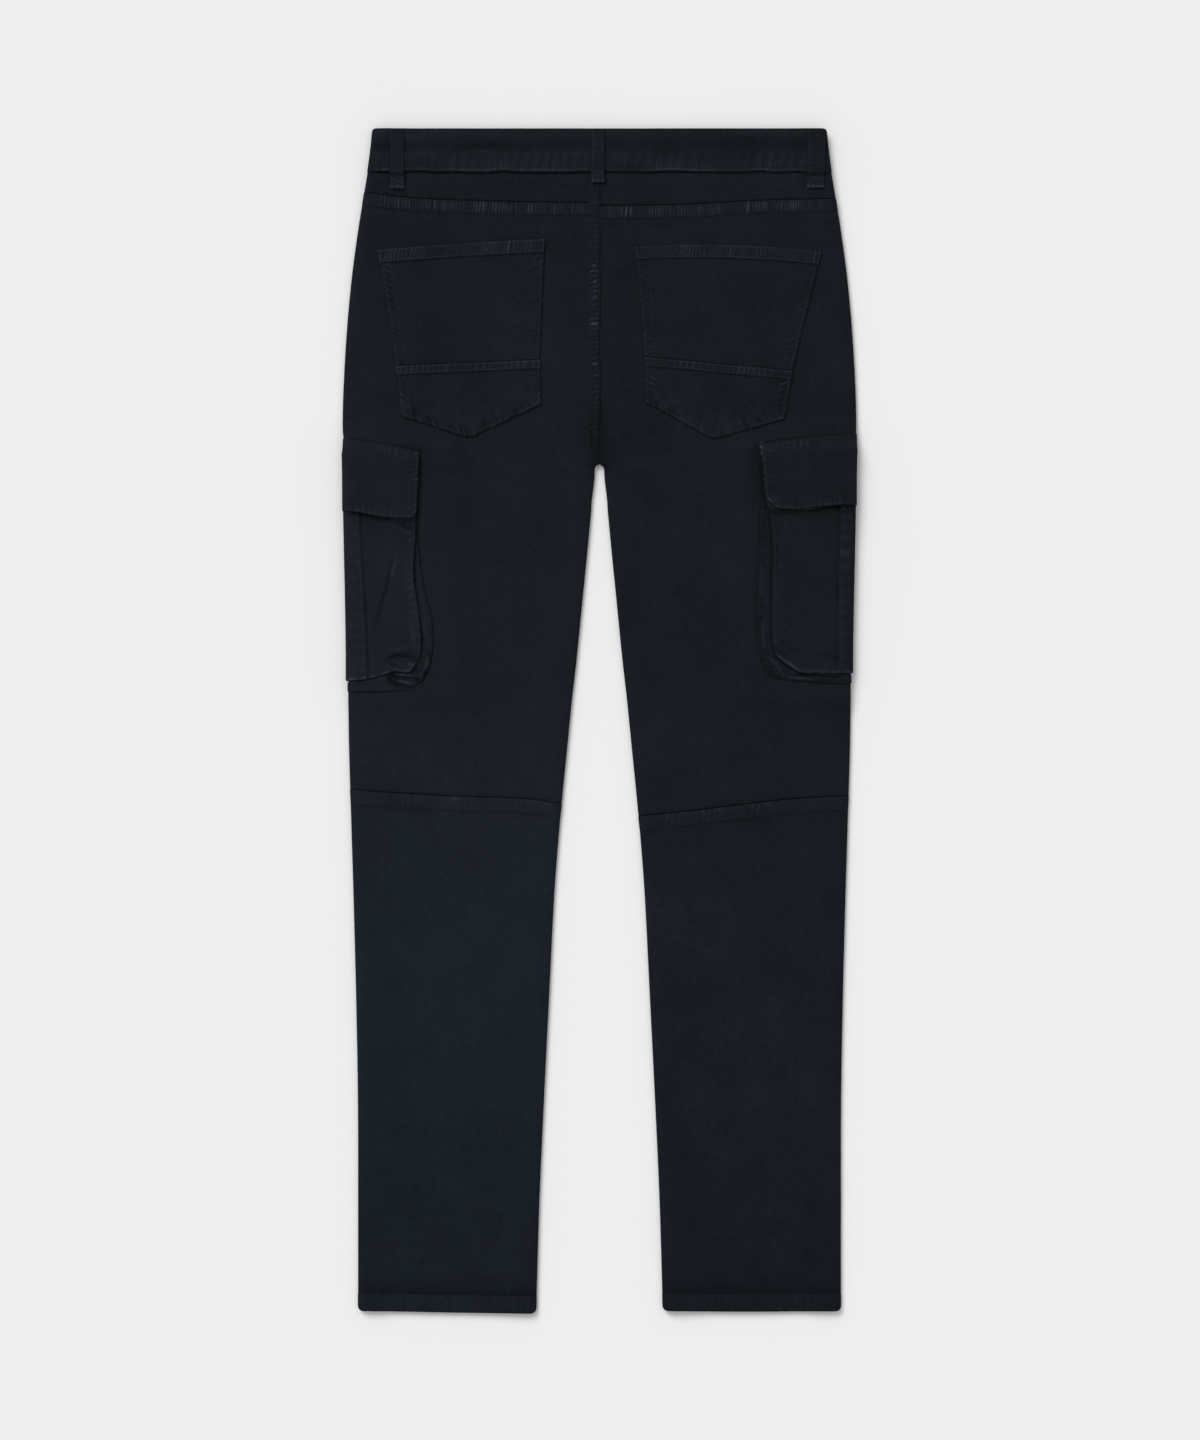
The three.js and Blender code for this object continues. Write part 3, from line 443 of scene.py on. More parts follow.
class TrousersSizes(bpy.types.PropertyGroup):
    """Sizes of the cloth and of its sewing."""

    twill: FloatProperty(
        name="Twill", description="Thickness of a panel's twill", default=0.9 * MM, min=0.0003, unit="LENGTH"
    )
    fell: FloatProperty(
        name="Felled seam", description="How far a felled seam stands up", default=0.8 * MM, min=0, unit="LENGTH"
    )
    pucker: FloatProperty(
        name="Pucker", description="Height of the ridges along a seam", default=0.75 * MM, min=0, unit="LENGTH"
    )
    crease: FloatProperty(
        name="Creases", description="Depth of the creases as a share of the placed ones", default=1.6, min=0
    )
    unevenness: FloatProperty(
        name="Unevenness", description="Height of the soft waves of the laid cloth", default=0.8 * MM, unit="LENGTH"
    )
    stitch: FloatProperty(
        name="Stitch", description="Length of one stitch", default=2.5 * MM, min=0.0005, unit="LENGTH"
    )
    pitch: FloatProperty(
        name="Stitch pitch", description="From one stitch to the next", default=3.7 * MM, min=0.001, unit="LENGTH"
    )
    thread: FloatProperty(
        name="Thread", description="Width of the sewing thread", default=0.72 * MM, min=0.0001, unit="LENGTH"
    )
    camera_lens: FloatProperty(name="Lens", description="Focal length", default=85, min=20, unit="CAMERA")


def colour(name, description, default):
    """A colour the user can change, as a property."""
    return FloatVectorProperty(
        name=name, description=description, default=default, size=3, subtype="COLOR", min=0, soft_max=1
    )


class TrousersColours(bpy.types.PropertyGroup):
    """Colours of the finishes, linear."""

    twill: colour("Twill", "Dyed twill in the hollows", (0.0034, 0.0044, 0.0063))
    faded: colour("Faded twill", "Twill where the dye has worn", (0.0127, 0.0163, 0.0225))
    # The pale colour stands both for rubbed wear and for painted highlights on ridges, rims and stitch rows.
    worn_and_painted_light: colour("Worn twill", "Twill rubbed pale along edges and ridges", (0.032, 0.0375, 0.047))
    cast: colour("Cool cast", "What the dye's colour is multiplied by where it leans to blue", (0.84, 1.0, 1.05))
    # Paler than the twill, partly as painted highlight on the stitch rows.
    thread: colour("Thread", "Sewing thread", (0.0215, 0.0255, 0.0325))
    button: colour("Button", "Oxidised metal of the button", (0.05, 0.05, 0.055))
    floor: colour("Floor", "Pale floor", (0.83, 0.83, 0.83))


def mix(a, b, t):
    return a + (b - a) * t


def slope(value, start, end):
    return np.clip((value - start) / (end - start), 0, 1)


def ramp(value, start, end):
    """0 at start, 1 at end, and smooth between them."""
    t = slope(value, start, end)
    return t * t * (3 - 2 * t)


def bell(distance, reach):
    return np.exp(-((distance / reach) ** 2))


def curve(rows, column=1):
    """A smooth curve through one column of a table, by the values of its first."""
    table = np.array(sorted(tuple(map(float, row)) for row in rows))
    at, value = table[:, 0], table[:, column]
    lean = np.gradient(value) / np.gradient(at)
    lean[1:-1] = (value[2:] - value[:-2]) / (at[2:] - at[:-2])

    def through(t):
        t = np.clip(t, at[0], at[-1])
        i = np.clip(np.searchsorted(at, t, side="right") - 1, 0, len(at) - 2)
        span = at[i + 1] - at[i]
        s = (t - at[i]) / span
        near = (1 + 2 * s) * (1 - s) ** 2 * value[i] + s * (1 - s) ** 2 * span * lean[i]
        return near + s * s * (3 - 2 * s) * value[i + 1] + s * s * (s - 1) * span * lean[i + 1]

    return through


def eased(rows):
    """Through a table's rows, level at each of them."""
    at, value = np.array(rows, float).T

    def through(t):
        i = np.clip(np.searchsorted(at, t, side="right") - 1, 0, len(at) - 2)
        return mix(value[i], value[i + 1], ramp(t, at[i], at[i + 1]))

    return through


def noise(x, y, seed):
    """Smooth unevenness from -1 to 1, with waves about two units long."""
    i, j = np.floor(x), np.floor(y)
    across, up = ramp(x - i, 0, 1), ramp(y - j, 0, 1)

    def corner(a, b):
        value = np.sin((i + a) * 127.1 + (j + b) * 311.7 + seed * 74.7) * 43758.5453
        return 2 * (value - np.floor(value)) - 1

    return mix(mix(corner(0, 0), corner(1, 0), across), mix(corner(0, 1), corner(1, 1), across), up)


def creases(rows, x, y):
    """The height of soft troughs and ridges, each laid along a line that may bow to one side."""
    total = np.zeros(np.broadcast(x, y).shape)
    for x0, y0, x1, y1, wide, high, bow in rows:
        long = math.hypot(x1 - x0, y1 - y0)
        along_x, along_y = (x1 - x0) / long, (y1 - y0) / long
        along = ((x - x0) * along_x + (y - y0) * along_y) / long
        aside = (x - x0) * -along_y + (y - y0) * along_x - bow * 4 * along * (1 - along)
        ends = ramp(along, -0.12, 0.3) * ramp(along, 1.12, 0.7)
        total = total + high * bell(aside, wide) * ends
    return total


outer_at = curve(OUTLINE, 1)
leg_inner_at = curve([row for row in OUTLINE if row[0] <= 200], 2)
cargo_lift = eased(CARGO_LIFT)
yoke_seam = {LEFT: curve(YOKE_SEAM, 1), RIGHT: curve(YOKE_SEAM, 2)}
knee_seam = {LEFT: curve(KNEE_SEAM, 1), RIGHT: curve(KNEE_SEAM, 2)}
hem_line = {LEFT: curve(HEM, 1), RIGHT: curve(HEM, 2)}


def side_name(side):
    return "left" if side == LEFT else "right"


def inner_at(y):
    """The inner side of a leg: the centre seam, the rounded top of the gap, then the inseam."""
    down = CROTCH - y
    share = np.clip(down / NOTCH_TALL, 0, 1)
    rounded = NOTCH * np.sqrt(share * (2 - share))
    below = mix(rounded, leg_inner_at(np.minimum(y, 200)), ramp(down, 6, CROTCH - 196))
    return np.where(down <= 0, SEAM_GAP / 2, np.maximum(SEAM_GAP / 2, below))


def folded_in(y):
    """How far the inner side of a leg is folded over: not at the seat, wholly below the crotch."""
    return 0.45 * ramp(y, 292, 250) + 0.55 * ramp(y, 246, 226)


def lift_at(side, x, y):
    """What lies under the front layer lifts it off the surface."""
    from_side = outer_at(y) - x
    from_inner = x - inner_at(y)
    pocket = cargo_lift(y) * ramp(from_side, CARGO_NONE, CARGO_FULL)
    waist = slope(y, WAIST_LIFT_FROM, WAIST_SEAM)
    if side == LEFT:
        beside = ramp(from_side, CARGO_NONE, outer_at(y) - inner_at(y) - AIR_REACH)
    else:
        beside = ramp(from_inner, AIR_REACH, FOLD_REACH)
    fly = beside * ramp(y, FLY_END - FLY_RUN, FLY_END)
    return pocket + WAIST_LIFT * waist + FLY_LIFT * fly * (1 - waist)


def air_at(x, y):
    """The air between the two layers."""
    side = slope(outer_at(y) - x, AIR_REACH, FOLD_REACH)
    inner = slope(x - inner_at(y), AIR_REACH, FOLD_REACH)
    crotch = inner * np.minimum(ramp(y, 206, 252), ramp(y, 312, 252))
    sides = (AIR_SIDE - AIR_MIDDLE) * (side + inner * folded_in(y))
    return AIR_MIDDLE + sides + AIR_SEAT * slope(y, 184, 284) + AIR_CROTCH * crotch


def skin(side, q, y, h, face):
    """Points of the cloth, h out of a layer's outer face, as rows of x, y, z in millimetres."""
    outer, inner = outer_at(y), inner_at(y)
    flat_x = np.minimum(np.maximum(outer - q, inner + FOLD_REACH), outer - FOLD_REACH)
    front = lift_at(side, flat_x, y)
    air = air_at(flat_x, y)
    seam = front + CLOTH + air / 2
    rise = np.where(face == BACK, CLOTH + air / 2, seam - front) + h
    from_inner = outer - inner - q
    folded = folded_in(y)
    out = np.clip(1 - q / FOLD_REACH, 0, 1)
    back_in = np.clip(1 - from_inner / FOLD_REACH, 0, 1)
    x = outer - q + h * out
    x = np.where(q >= FOLD_REACH, x - h * folded * back_in, x)
    up = rise * np.where(
        q < FOLD_REACH,
        np.sqrt(np.maximum(0, 1 - out * out)),
        1 - folded * (1 - np.sqrt(np.maximum(0, 1 - back_in * back_in))),
    )
    z = seam + face * (SEAM_GAP / 4 + up)
    return np.stack([side * x, y + 0 * x, np.maximum(0, z)], axis=-1)


def over(x, y, h, face=BACK):
    """The same, for places given by their x."""
    x, y, h = np.broadcast_arrays(*(np.asarray(v, float) for v in (x, y, h)))
    side = np.where(x < 0, LEFT, RIGHT)
    q = outer_at(y) - np.abs(x)
    left = skin(LEFT, q, y, h, face)
    right = skin(RIGHT, q, y, h, face)
    return np.where((side == LEFT)[..., None], left, right)


def sizes():
    return bpy.context.scene.trousers_sizes


def colours():
    return bpy.context.scene.trousers_colours


def even(start, end, step):
    """Stops from start to end, about step apart."""
    return np.linspace(start, end, max(2, int(round((end - start) / step)) + 1))


def stops(long, step, start=0.0, end=0.0, soft=(0.25, 0.7, 1.4)):
    """Stops from 0 to long, closer together at both ends, or along a rounded fold where start or end says so."""
    turn = [1 - math.cos(math.radians(k)) for k in (0, 6, 14, 24, 36, 48, 60, 72, 82)]
    near = [start * t for t in turn] if start else [0, *soft]
    far = [long - end * t for t in reversed(turn)] if end else [long - s for s in (*reversed(soft), 0)]
    inside = even(near[-1] + step, far[0] - step, step) if far[0] - near[-1] > 3 * step else []
    return np.array([*near, *inside, *far])


laid = {}


def cloth(name, across, down, place, outside=BACK, thick=None):
    """A thin piece of cloth: a grid that place() lays out, in millimetres, with a wall behind it.

    place(u, v) takes stops across and down, and gives the points and, at each, how worn the dye is together with
    painted highlight and painted shade.
    """
    bm = bmesh.new()
    bmesh.ops.create_grid(bm, x_segments=len(across) - 1, y_segments=len(down) - 1, size=0.5)
    mesh = bpy.data.meshes.new(name)
    bm.to_mesh(mesh)
    bm.free()
    flat = np.empty(len(mesh.vertices) * 3)
    mesh.vertices.foreach_get("co", flat)
    flat = flat.reshape(-1, 3) + 0.5
    u = across[np.rint(flat[:, 0] * (len(across) - 1)).astype(int)]
    v = down[np.rint(flat[:, 1] * (len(down) - 1)).astype(int)]
    points, worn_and_painted_light = place(u, v)
    mesh.vertices.foreach_set("co", (points * MM).ravel())
    wear_and_shading = mesh.attributes.new("wear_and_shading", "FLOAT", "POINT")
    # The share of the paler colours, with the fade added: wear and painted highlight where it is high, painted shade
    # below zero.
    total = np.clip(worn_and_painted_light + faded_and_lit_at(points[:, 0], points[:, 1]), -0.4, 1)
    wear_and_shading.data.foreach_set("value", np.ascontiguousarray(total, dtype=np.float32))
    cool = mesh.attributes.new("cool", "FLOAT", "POINT")
    cool.data.foreach_set("value", np.ascontiguousarray(cool_at(points[:, 0], points[:, 1]), dtype=np.float32))
    mesh.update()
    turn_outwards(mesh, outside)
    mesh.shade_smooth()
    mesh.materials.append(dyed_twill())
    piece = bpy.data.objects.new(name, mesh)
    bpy.context.collection.objects.link(piece)
    wall = piece.modifiers.new("wall", "SOLIDIFY")
    wall.thickness = thick * MM if thick else sizes().twill
    wall.offset = -1
    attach(piece, "root")
    laid[name] = place
    return piece


def turn_outwards(mesh, outside):
    """Turns the faces so that the outermost flat one looks up, or down underneath."""
    middles = np.empty(len(mesh.polygons) * 3)
    normals = np.empty(len(mesh.polygons) * 3)
    mesh.polygons.foreach_get("center", middles)
    mesh.polygons.foreach_get("normal", normals)
    lean = normals[2::3]
    furthest = np.argmax(np.where(np.abs(lean) > 0.7, outside * middles[2::3], -1))
    if lean[furthest] * outside < 0:
        mesh.flip_normals()


def faded_and_lit_at(x, y):
    """How far the dye has faded at each place of the garment, with the left leg paler partly as painted light falling
    from the left.
    """
    left, right = curve(FADED_AND_LIT, 1)(y), curve(FADED_AND_LIT, 2)(y)
    patches = 0.5 * noise(x / 70, y / 90, 11) + 0.5 * noise(x / 28, y / 34, 12)
    on_pocket = 0.06 * ramp(x, -150, -175) * bell(y - 120, 110)
    return mix(left, right, ramp(x, -12, 12)) + 0.05 * patches + on_pocket


def cool_at(x, y):
    """How far the dye leans to a cooler blue: down the left leg, and in loose patches."""
    patches = 0.5 * noise(x / 46, y / 38, 15) + 0.5 * noise(x / 17, y / 13, 16)
    return np.clip(ramp(y, 80, -260) * mix(0.85, 0.35, ramp(x, -20, 20)) + 0.2 * patches + 0.1, 0, 1)


def ridges(along, pitch, seed):
    """Uneven ridges from 0 to 1 along a seam, about pitch apart."""
    phase = along / pitch + 0.5 * noise(along / (2.6 * pitch), 0 * along, seed)
    crest = (0.5 + 0.5 * np.cos(2 * np.pi * phase)) ** 1.4
    return crest * (0.62 + 0.38 * noise(along / (1.7 * pitch), 5 + 0 * along, seed + 1))


def pulled(distance, along, reach, seed, pitch=7.5):
    """Shallow ripples beside a seam, which die out within reach of it."""
    near = np.exp(-np.maximum(distance, 0) / reach)
    return 0.42 * sizes().pucker / MM * (ridges(along, pitch, seed) - 0.35) * near


def ground(x, y):
    """How far the soft waves and creases of the laid cloth stand out, away from its folded sides."""
    waves = 0.62 * noise(x / 62, y / 88, 1) + 0.28 * noise(x / 25, y / 31, 2) + 0.1 * noise(x / 9, y / 12, 3)
    lines = creases(SEAT_CREASES, x, y) + creases(CALF_CREASES, x, y)
    wide = np.abs(x)
    open_seat = ramp(y, 262, 300)
    inside = ramp(outer_at(y) - wide, 0, 9) * np.maximum(open_seat, ramp(wide - inner_at(y), 0, 9))
    return (sizes().unevenness / MM * waves + sizes().crease * lines) * inside


def turned(distance, drop=0.5, reach=1.2):
    """How far a face falls towards a turned edge, so that the edge is round."""
    return -drop * (1 - np.sqrt(slope(distance, -0.1, reach)))


def sewn(distance, deep=0.16, wide=0.75):
    """The hollow that a row of stitches pulls in."""
    return -deep * bell(distance, wide)


def waist_line(face):
    """The seam below the waistband, which dips at the front and wanders at the back."""
    return lambda side, x: WAIST_SEAM + (-dip_at(x) if face == FRONT else waist_wave(side * x))


def waist_wave(x):
    """How far the seam below the back of the waistband wanders up."""
    wide = np.abs(x)
    return 0.8 * noise(x / 15, 0 * x, 93) * ramp(wide, 9, 18) * ramp(wide, 206, 190)


def dip_at(x):
    return FRONT_DIP * ramp(np.abs(x), 190, 0)


def yoke_line(side, x):
    return yoke_seam[side](x)


def knee_line(side, x):
    return knee_seam[side](x)


def hem_edge(side, x):
    return hem_line[side](x) - SEAM_GAP / 2


def below(line, distance):
    """A line that runs that far below another."""
    return lambda side, x: line(side, x) - distance


def rounded_corner(distance, radius):
    """How far a corner of that radius draws an edge in, at that distance from the other edge."""
    return radius - np.sqrt(np.maximum(0, radius**2 - np.clip(radius - distance, 0, radius) ** 2))


def leg_cloth(name, side, face, top, bottom, height, steps, thick=None, also=()):
    """A piece between two lines across a leg, folded round its sides.

    height() is told x, y, q, from_inner, and how far down from top and up from bottom a place lies, and gives h
    and the wear with painted highlight and shade in it. Stops run from 0 to 1 in both directions.
    """
    wide = float(outer_at(top(side, 120.0)) - inner_at(top(side, 120.0)))
    long = float(top(side, 120.0) - bottom(side, 120.0))
    across = stops(wide, steps[0], start=FOLD_REACH, end=FOLD_REACH) / wide
    down = stops(long, steps[1]) / long
    centre_top, centre_low = top(side, 4.0), bottom(side, 4.0)
    down = np.unique(np.round([*down, *((centre_top - y) / (centre_top - centre_low) for y in also)], 6))
    corner = HEM_CORNER if bottom is hem_edge else 0

    def place(u, v):
        y = mix(top(side, 120.0), bottom(side, 120.0), v)
        for _ in range(3):
            x = outer_at(y) - u * (outer_at(y) - inner_at(y))
            upper = top(side, x) - SEAM_GAP / 2
            lower = bottom(side, x) + SEAM_GAP / 2
            y = mix(upper, lower, v)
        drawn_in = rounded_corner(y - lower, corner) if corner else 0
        x = outer_at(y) - drawn_in - u * (outer_at(y) - inner_at(y) - 2 * drawn_in)
        q = outer_at(y) - x
        h, worn_and_painted_light = height(side * x, y, q, x - inner_at(y), upper - y, y - lower)
        return skin(side, q, y, h, face), worn_and_painted_light

    return cloth(name, across, down, place, face, thick)


def yoke_height(x, y, q, from_inner, down, up):
    sides = ramp(q, 0, 9)
    drawn = pulled(down, x, 6, 21) + pulled(up, x, 6, 22, 6) + turned(up, 0.8, 1.4) + turned(down, 0.9, 1.6)
    # Paler ridges below the waistband seam, partly painted highlight, and painted shade lines along both seams.
    worn_and_painted_light = 0.1 * bell(down - 4, 3) * ridges(x, 8, 23) - 0.16 * bell(down, 1.5) - 0.1 * bell(up, 1.0)
    return ground(x, y) + drawn * sides, worn_and_painted_light * sides


def seat_height(x, y, q, from_inner, down, up):
    drawn = pulled(down - YOKE_FELL, x, 9, 31) + pulled(up, x, 10, 32, 9)
    drawn = drawn + pulled(from_inner - SEAT_FELL * (x < 0), y, 8, 33, 8) * ramp(y, 250, 280)
    # Painted shade along the knee seam below, and paler patches below the yoke band.
    worn_and_painted_light = -0.14 * bell(up, 1.1) + 0.08 * bell(down - YOKE_FELL - 4, 5) * noise(x / 12, y / 6, 34)
    # Painted shadow on the leg beside the rear edge of each cargo flap.
    for side, reach in ((LEFT, 2.2), (RIGHT, 8)):
        flap = CARGO[side]
        beside = np.exp(-np.maximum(q - curve(flap["flap_rear"])(y), 0) / reach)
        worn_and_painted_light = worn_and_painted_light - 0.17 * beside * (x * side > 0) * ramp(y, 196, 206) * ramp(y, 262, 250)
    # Painted shade at the crotch, down the centre seam and spreading onto the thighs.
    crotch_shade = bell(x, 5.5) * ramp(y, 316, 286) + 0.6 * bell(x, 15) * ramp(y, 290, 262)
    worn_and_painted_light = worn_and_painted_light - 0.15 * crotch_shade * ramp(y, CROTCH - 16, CROTCH)
    return ground(x, y) + (drawn + turned(up, 0.8, 1.6)) * ramp(q, 0, 9), worn_and_painted_light


def calf_height(x, y, q, from_inner, down, up):
    drawn = pulled(down - KNEE_FELL, x, 10, 41, 9) + pulled(up - HEM_DEEP, x, 8, 42, 10)
    sides = ramp(q, 0, 9) * ramp(from_inner, 0, 9)
    hollow = -0.9 * bell(up - HEM_DEEP - 0.6, 1.5) - 0.5 * bell(up - HEM_DEEP - 3, 6)
    low = 0.5 * bell(down - KNEE_FELL - 3, 4)
    # Painted shade in the hollow above the hem and in the dip below the knee band.
    dark = 0.1 * bell(up - HEM_DEEP - 1, 1.6) + 0.045 * bell(up - HEM_DEEP - 4, 7)
    return ground(x, y) + (drawn + hollow - low) * sides, -dark - 0.03 * bell(down - KNEE_FELL - 3, 4)


def front_height(x, y, q, from_inner, down, up):
    return -0.5 * np.abs(ground(x, y)), 0 * x


def make_panels():
    """The panels of both legs, back and front."""
    for side in SIDES:
        tag = side_name(side)
        leg_cloth(f"yoke_panel_{tag}", side, BACK, waist_line(BACK), yoke_line, yoke_height, (2.4, 1.6))
        leg_cloth(f"seat_panel_{tag}", side, BACK, yoke_line, knee_line, seat_height, (2.8, 2.8), also=CROTCH_ROWS)
        leg_cloth(f"calf_panel_{tag}", side, BACK, knee_line, hem_edge, calf_height, (3.0, 3.4))
        line = waist_line(FRONT)
        leg_cloth(f"front_panel_{tag}", side, FRONT, line, hem_edge, front_height, (6, 7), also=CROTCH_ROWS)


def band_height(deep, seed, pitch, rise, pucker, worn_and_painted_light, low, crisp, least=0.34):
    """The surface of a felled band, ridged where the sewing draws it in.

    low is its height at the lower edge, crisp how much its upper edge catches the light, and least the share of the
    ridges that shows everywhere.
    """

    def height(x, y, q, from_inner, down, up):
        across = np.clip(down / deep, 0.02, 0.98)
        dome = np.sin(np.pi * across) ** 0.6
        strength = mix(least, 1, ramp(noise(x / 22, 0 * x, seed + 7), -0.55, 0.2))
        crest = ridges(x + 0.12 * down + 1.2 * noise(x / 19, 0 * x, seed + 9), pitch, seed)
        swell = ridges(x - 0.3 * down, 3.1 * pitch, seed + 3)
        sides = ramp(q, 0, 9) * np.maximum(ramp(y, 262, 300), ramp(from_inner, 0, 9))
        ripple = sizes().pucker / MM * pucker * strength * (crest + 0.6 * swell - 0.5) * dome
        rows = sewn(down - STITCH_IN) + sewn(up - STITCH_IN)
        high = rise * mix(0.45, 1, sides) * mix(1, low, across)
        h = ground(x, y) + high + (0.25 * dome + ripple + rows) * sides + turned(down, 0.6, 1) + turned(up, 0.45, 0.9)
        # Pale crests, partly rubbed wear and partly painted highlight, a painted highlight along the upper edge, and a
        # painted shade line right at the top edge.
        rubbed_and_lit = (strength * (1.1 * crest - 0.12) * dome + 0.16 * swell * dome) * mix(0.35, 1, ramp(q, 4, 34))
        rubbed_and_lit = rubbed_and_lit + crisp * strength * (0.2 + 0.5 * swell + 0.6 * crest * swell) * bell(down - 1.6, 1.1)
        return h, worn_and_painted_light * rubbed_and_lit * mix(1, low, 0.7 * across) * sides - 0.2 * bell(down, 0.55)

    return height


def make_bands():
    """The felled bands and turned hems, on the panels."""
    high = sizes().fell / MM
    for side in SIDES:
        tag = side_name(side)
        yoke = band_height(YOKE_FELL, 60 + side, 2.9, high, 0.95, 1.25, 0.5, 0.2, 0.6)
        leg_cloth(f"yoke_seam_{tag}", side, BACK, yoke_line, below(yoke_line, YOKE_FELL), yoke, (0.7, 1.1), 0.7)
        knee = band_height(KNEE_FELL, 70 + side, 4.9, high, 0.55, 0.34, 0.12, 1.7)
        leg_cloth(f"knee_seam_{tag}", side, BACK, knee_line, below(knee_line, KNEE_FELL), knee, (1.15, 1.1), 0.7)
        hem = band_height(HEM_DEEP, 80 + side, 5.6, 0.6, 0.4, 0.16, 1, 1.4, 0)
        leg_cloth(f"hem_back_{tag}", side, BACK, below(hem_edge, -HEM_DEEP), hem_edge, hem, (1.6, 1.2), 0.6)
    make_centre_band()


def make_centre_band():
    """The felled band on the left of the centre seam, from the waistband down to the crotch."""
    top, end = WAIST_SEAM - SEAM_GAP, 258.0

    def place(u, v):
        y = top - v
        wander = 0.5 * noise(y / 17, 0 * y, 58) * ramp(y, top - 30, top - 40)
        x = SEAT_LAP + wander - u * mix(0.3, 1, ramp(y, CROTCH, end + 8))
        strength = 0.45 + 0.55 * ramp(noise(y / 16, 0 * y, 57), -0.5, 0.3)
        strength = strength * mix(0.3, 1, ramp(y, yoke_seam[LEFT](0) - 10, yoke_seam[LEFT](0) - 16))
        crest = ridges(y + 0.2 * u + 1.1 * noise(y / 9, u / 6, 59), 4.8, 51)
        dome = np.sin(np.pi * np.clip(u / SEAT_FELL, 0.03, 0.97)) ** 0.7
        fade = ramp(y, end, end + 26)
        on_band = 0.7 * ramp(y, yoke_seam[LEFT](0) - YOKE_FELL - 1, yoke_seam[LEFT](0) - YOKE_FELL + 1.5)
        on_band = on_band * ramp(y, yoke_seam[LEFT](0) + 1.5, yoke_seam[LEFT](0) - 0.5)
        wedge = mix(1, 0.45, u / SEAT_FELL)
        h = sizes().fell / MM * wedge * mix(0.15, 1, fade) + 0.2 * dome + ground(x, y) + on_band
        h = h + sizes().pucker / MM * strength * (crest - 0.45) * dome * mix(0.4, 1, fade) + sewn(u - STITCH_IN)
        h = h + sewn(SEAT_FELL - u - STITCH_IN) + turned(u, 0.6, 0.9) + turned(SEAT_FELL - u, 0.5, 0.9)
        # Paler spots on the crests, partly rubbed wear and partly painted highlight; painted shade along the seam's
        # edge and towards the crotch.
        spots = 0.5 + np.clip(noise(u / 2.6, y / 4.3, 56), 0, 1)
        rubbed_and_lit = 0.95 + 0.45 * bell(y - 400, 60)
        worn_and_painted_light = (rubbed_and_lit * crest * spots - 0.12) * strength * dome * mix(0.3, 1, fade) - 0.2 * bell(u, 0.7)
        worn_and_painted_light = worn_and_painted_light - 0.14 * bell(y - (CROTCH + 20), 30) - 0.1 * bell(u, 1.6) * ramp(y, 320, 290)
        return over(x, y, h), worn_and_painted_light

    cloth("seat_seam_centre", stops(SEAT_FELL, 0.9), stops(top - CROTCH - 0.3, 1.2), place, BACK, 0.7)


def waistband_height(face):
    """The surface of the waistband at x and at that depth below its top edge."""

    def height(x, deep):
        if face == FRONT:
            return BAND_OUT[FRONT] - 0.6 + turned(deep, 0.5, 1.5) + turned(BAND_DEEP - SEAM_GAP - deep, 0.3, 1.2), 0.1
        ripple = ridges(x + 0.2 * deep, 10.5, 91) - 0.4
        fine = ridges(x - 0.15 * deep, 4.4, 95) - 0.4
        lower = ramp(deep, 20, 27)
        streaks = noise(x / 34, deep / 5.5, 97)
        flat = ramp(213 - np.abs(x), 0, 9)
        h = 0.7 * bell(deep - 6, 7.0) - 0.95 * bell(deep - 17.5 - 1.5 * noise(x / 40, 0 * x, 98), 4.0)
        h = h + 0.55 * bell(deep - 29, 7) * (1 + 0.6 * ripple) + 0.35 * streaks
        h = h + sizes().pucker / MM * lower * (0.9 * ripple + 0.3 * fine) * ramp(deep, 41, 37)
        h = h + 0.3 * (1 - lower) * (ridges(x, 14, 99) - 0.4) + sewn(deep - WAIST_ROW, 0.3, 0.9)
        h = BAND_OUT[BACK] * mix(0.5, 1, flat) + h * flat
        h = h + turned(deep, 0.9, 2.2) + turned(BAND_DEEP - SEAM_GAP - deep, 0.9, 1.4) * mix(0.3, 1, flat)
        strength = 0.2 + 0.8 * ramp(noise(x / 26, 0 * x, 92), -0.35, 0.4)
        # A little painted highlight on the bulge near the top, paler ridges and painted highlights on the puckers
        # between the stitches, and painted shade along the lower edge and in the groove across the middle.
        low_edge = bell(deep - 35.0, 3.8)
        worn_and_painted_light = 0.05 * bell(deep - 6, 6) + 0.16 * strength * lower * ridges(x + 0.2 * deep, 10.5, 91)
        worn_and_painted_light = worn_and_painted_light + 0.4 * strength * low_edge * ridges(x - 0.1 * deep, 4.4, 95)
        dashes = 1.1 * (0.3 + ridges(x, 3.9, 96) ** 2) * bell(deep - 38.2, 0.9)
        worn_and_painted_light = worn_and_painted_light + (0.4 + 0.6 * strength) * dashes - 0.2 * bell(deep - BAND_DEEP + SEAM_GAP, 0.6)
        worn_and_painted_light = worn_and_painted_light - 0.06 * bell(deep - 17.5, 4.5) - 0.08 * bell(deep - 19.5 - noise(x / 60, 0 * x, 94), 0.9)
        return h, worn_and_painted_light * mix(0.2, 1, flat) + 0.05 * streaks

    return height


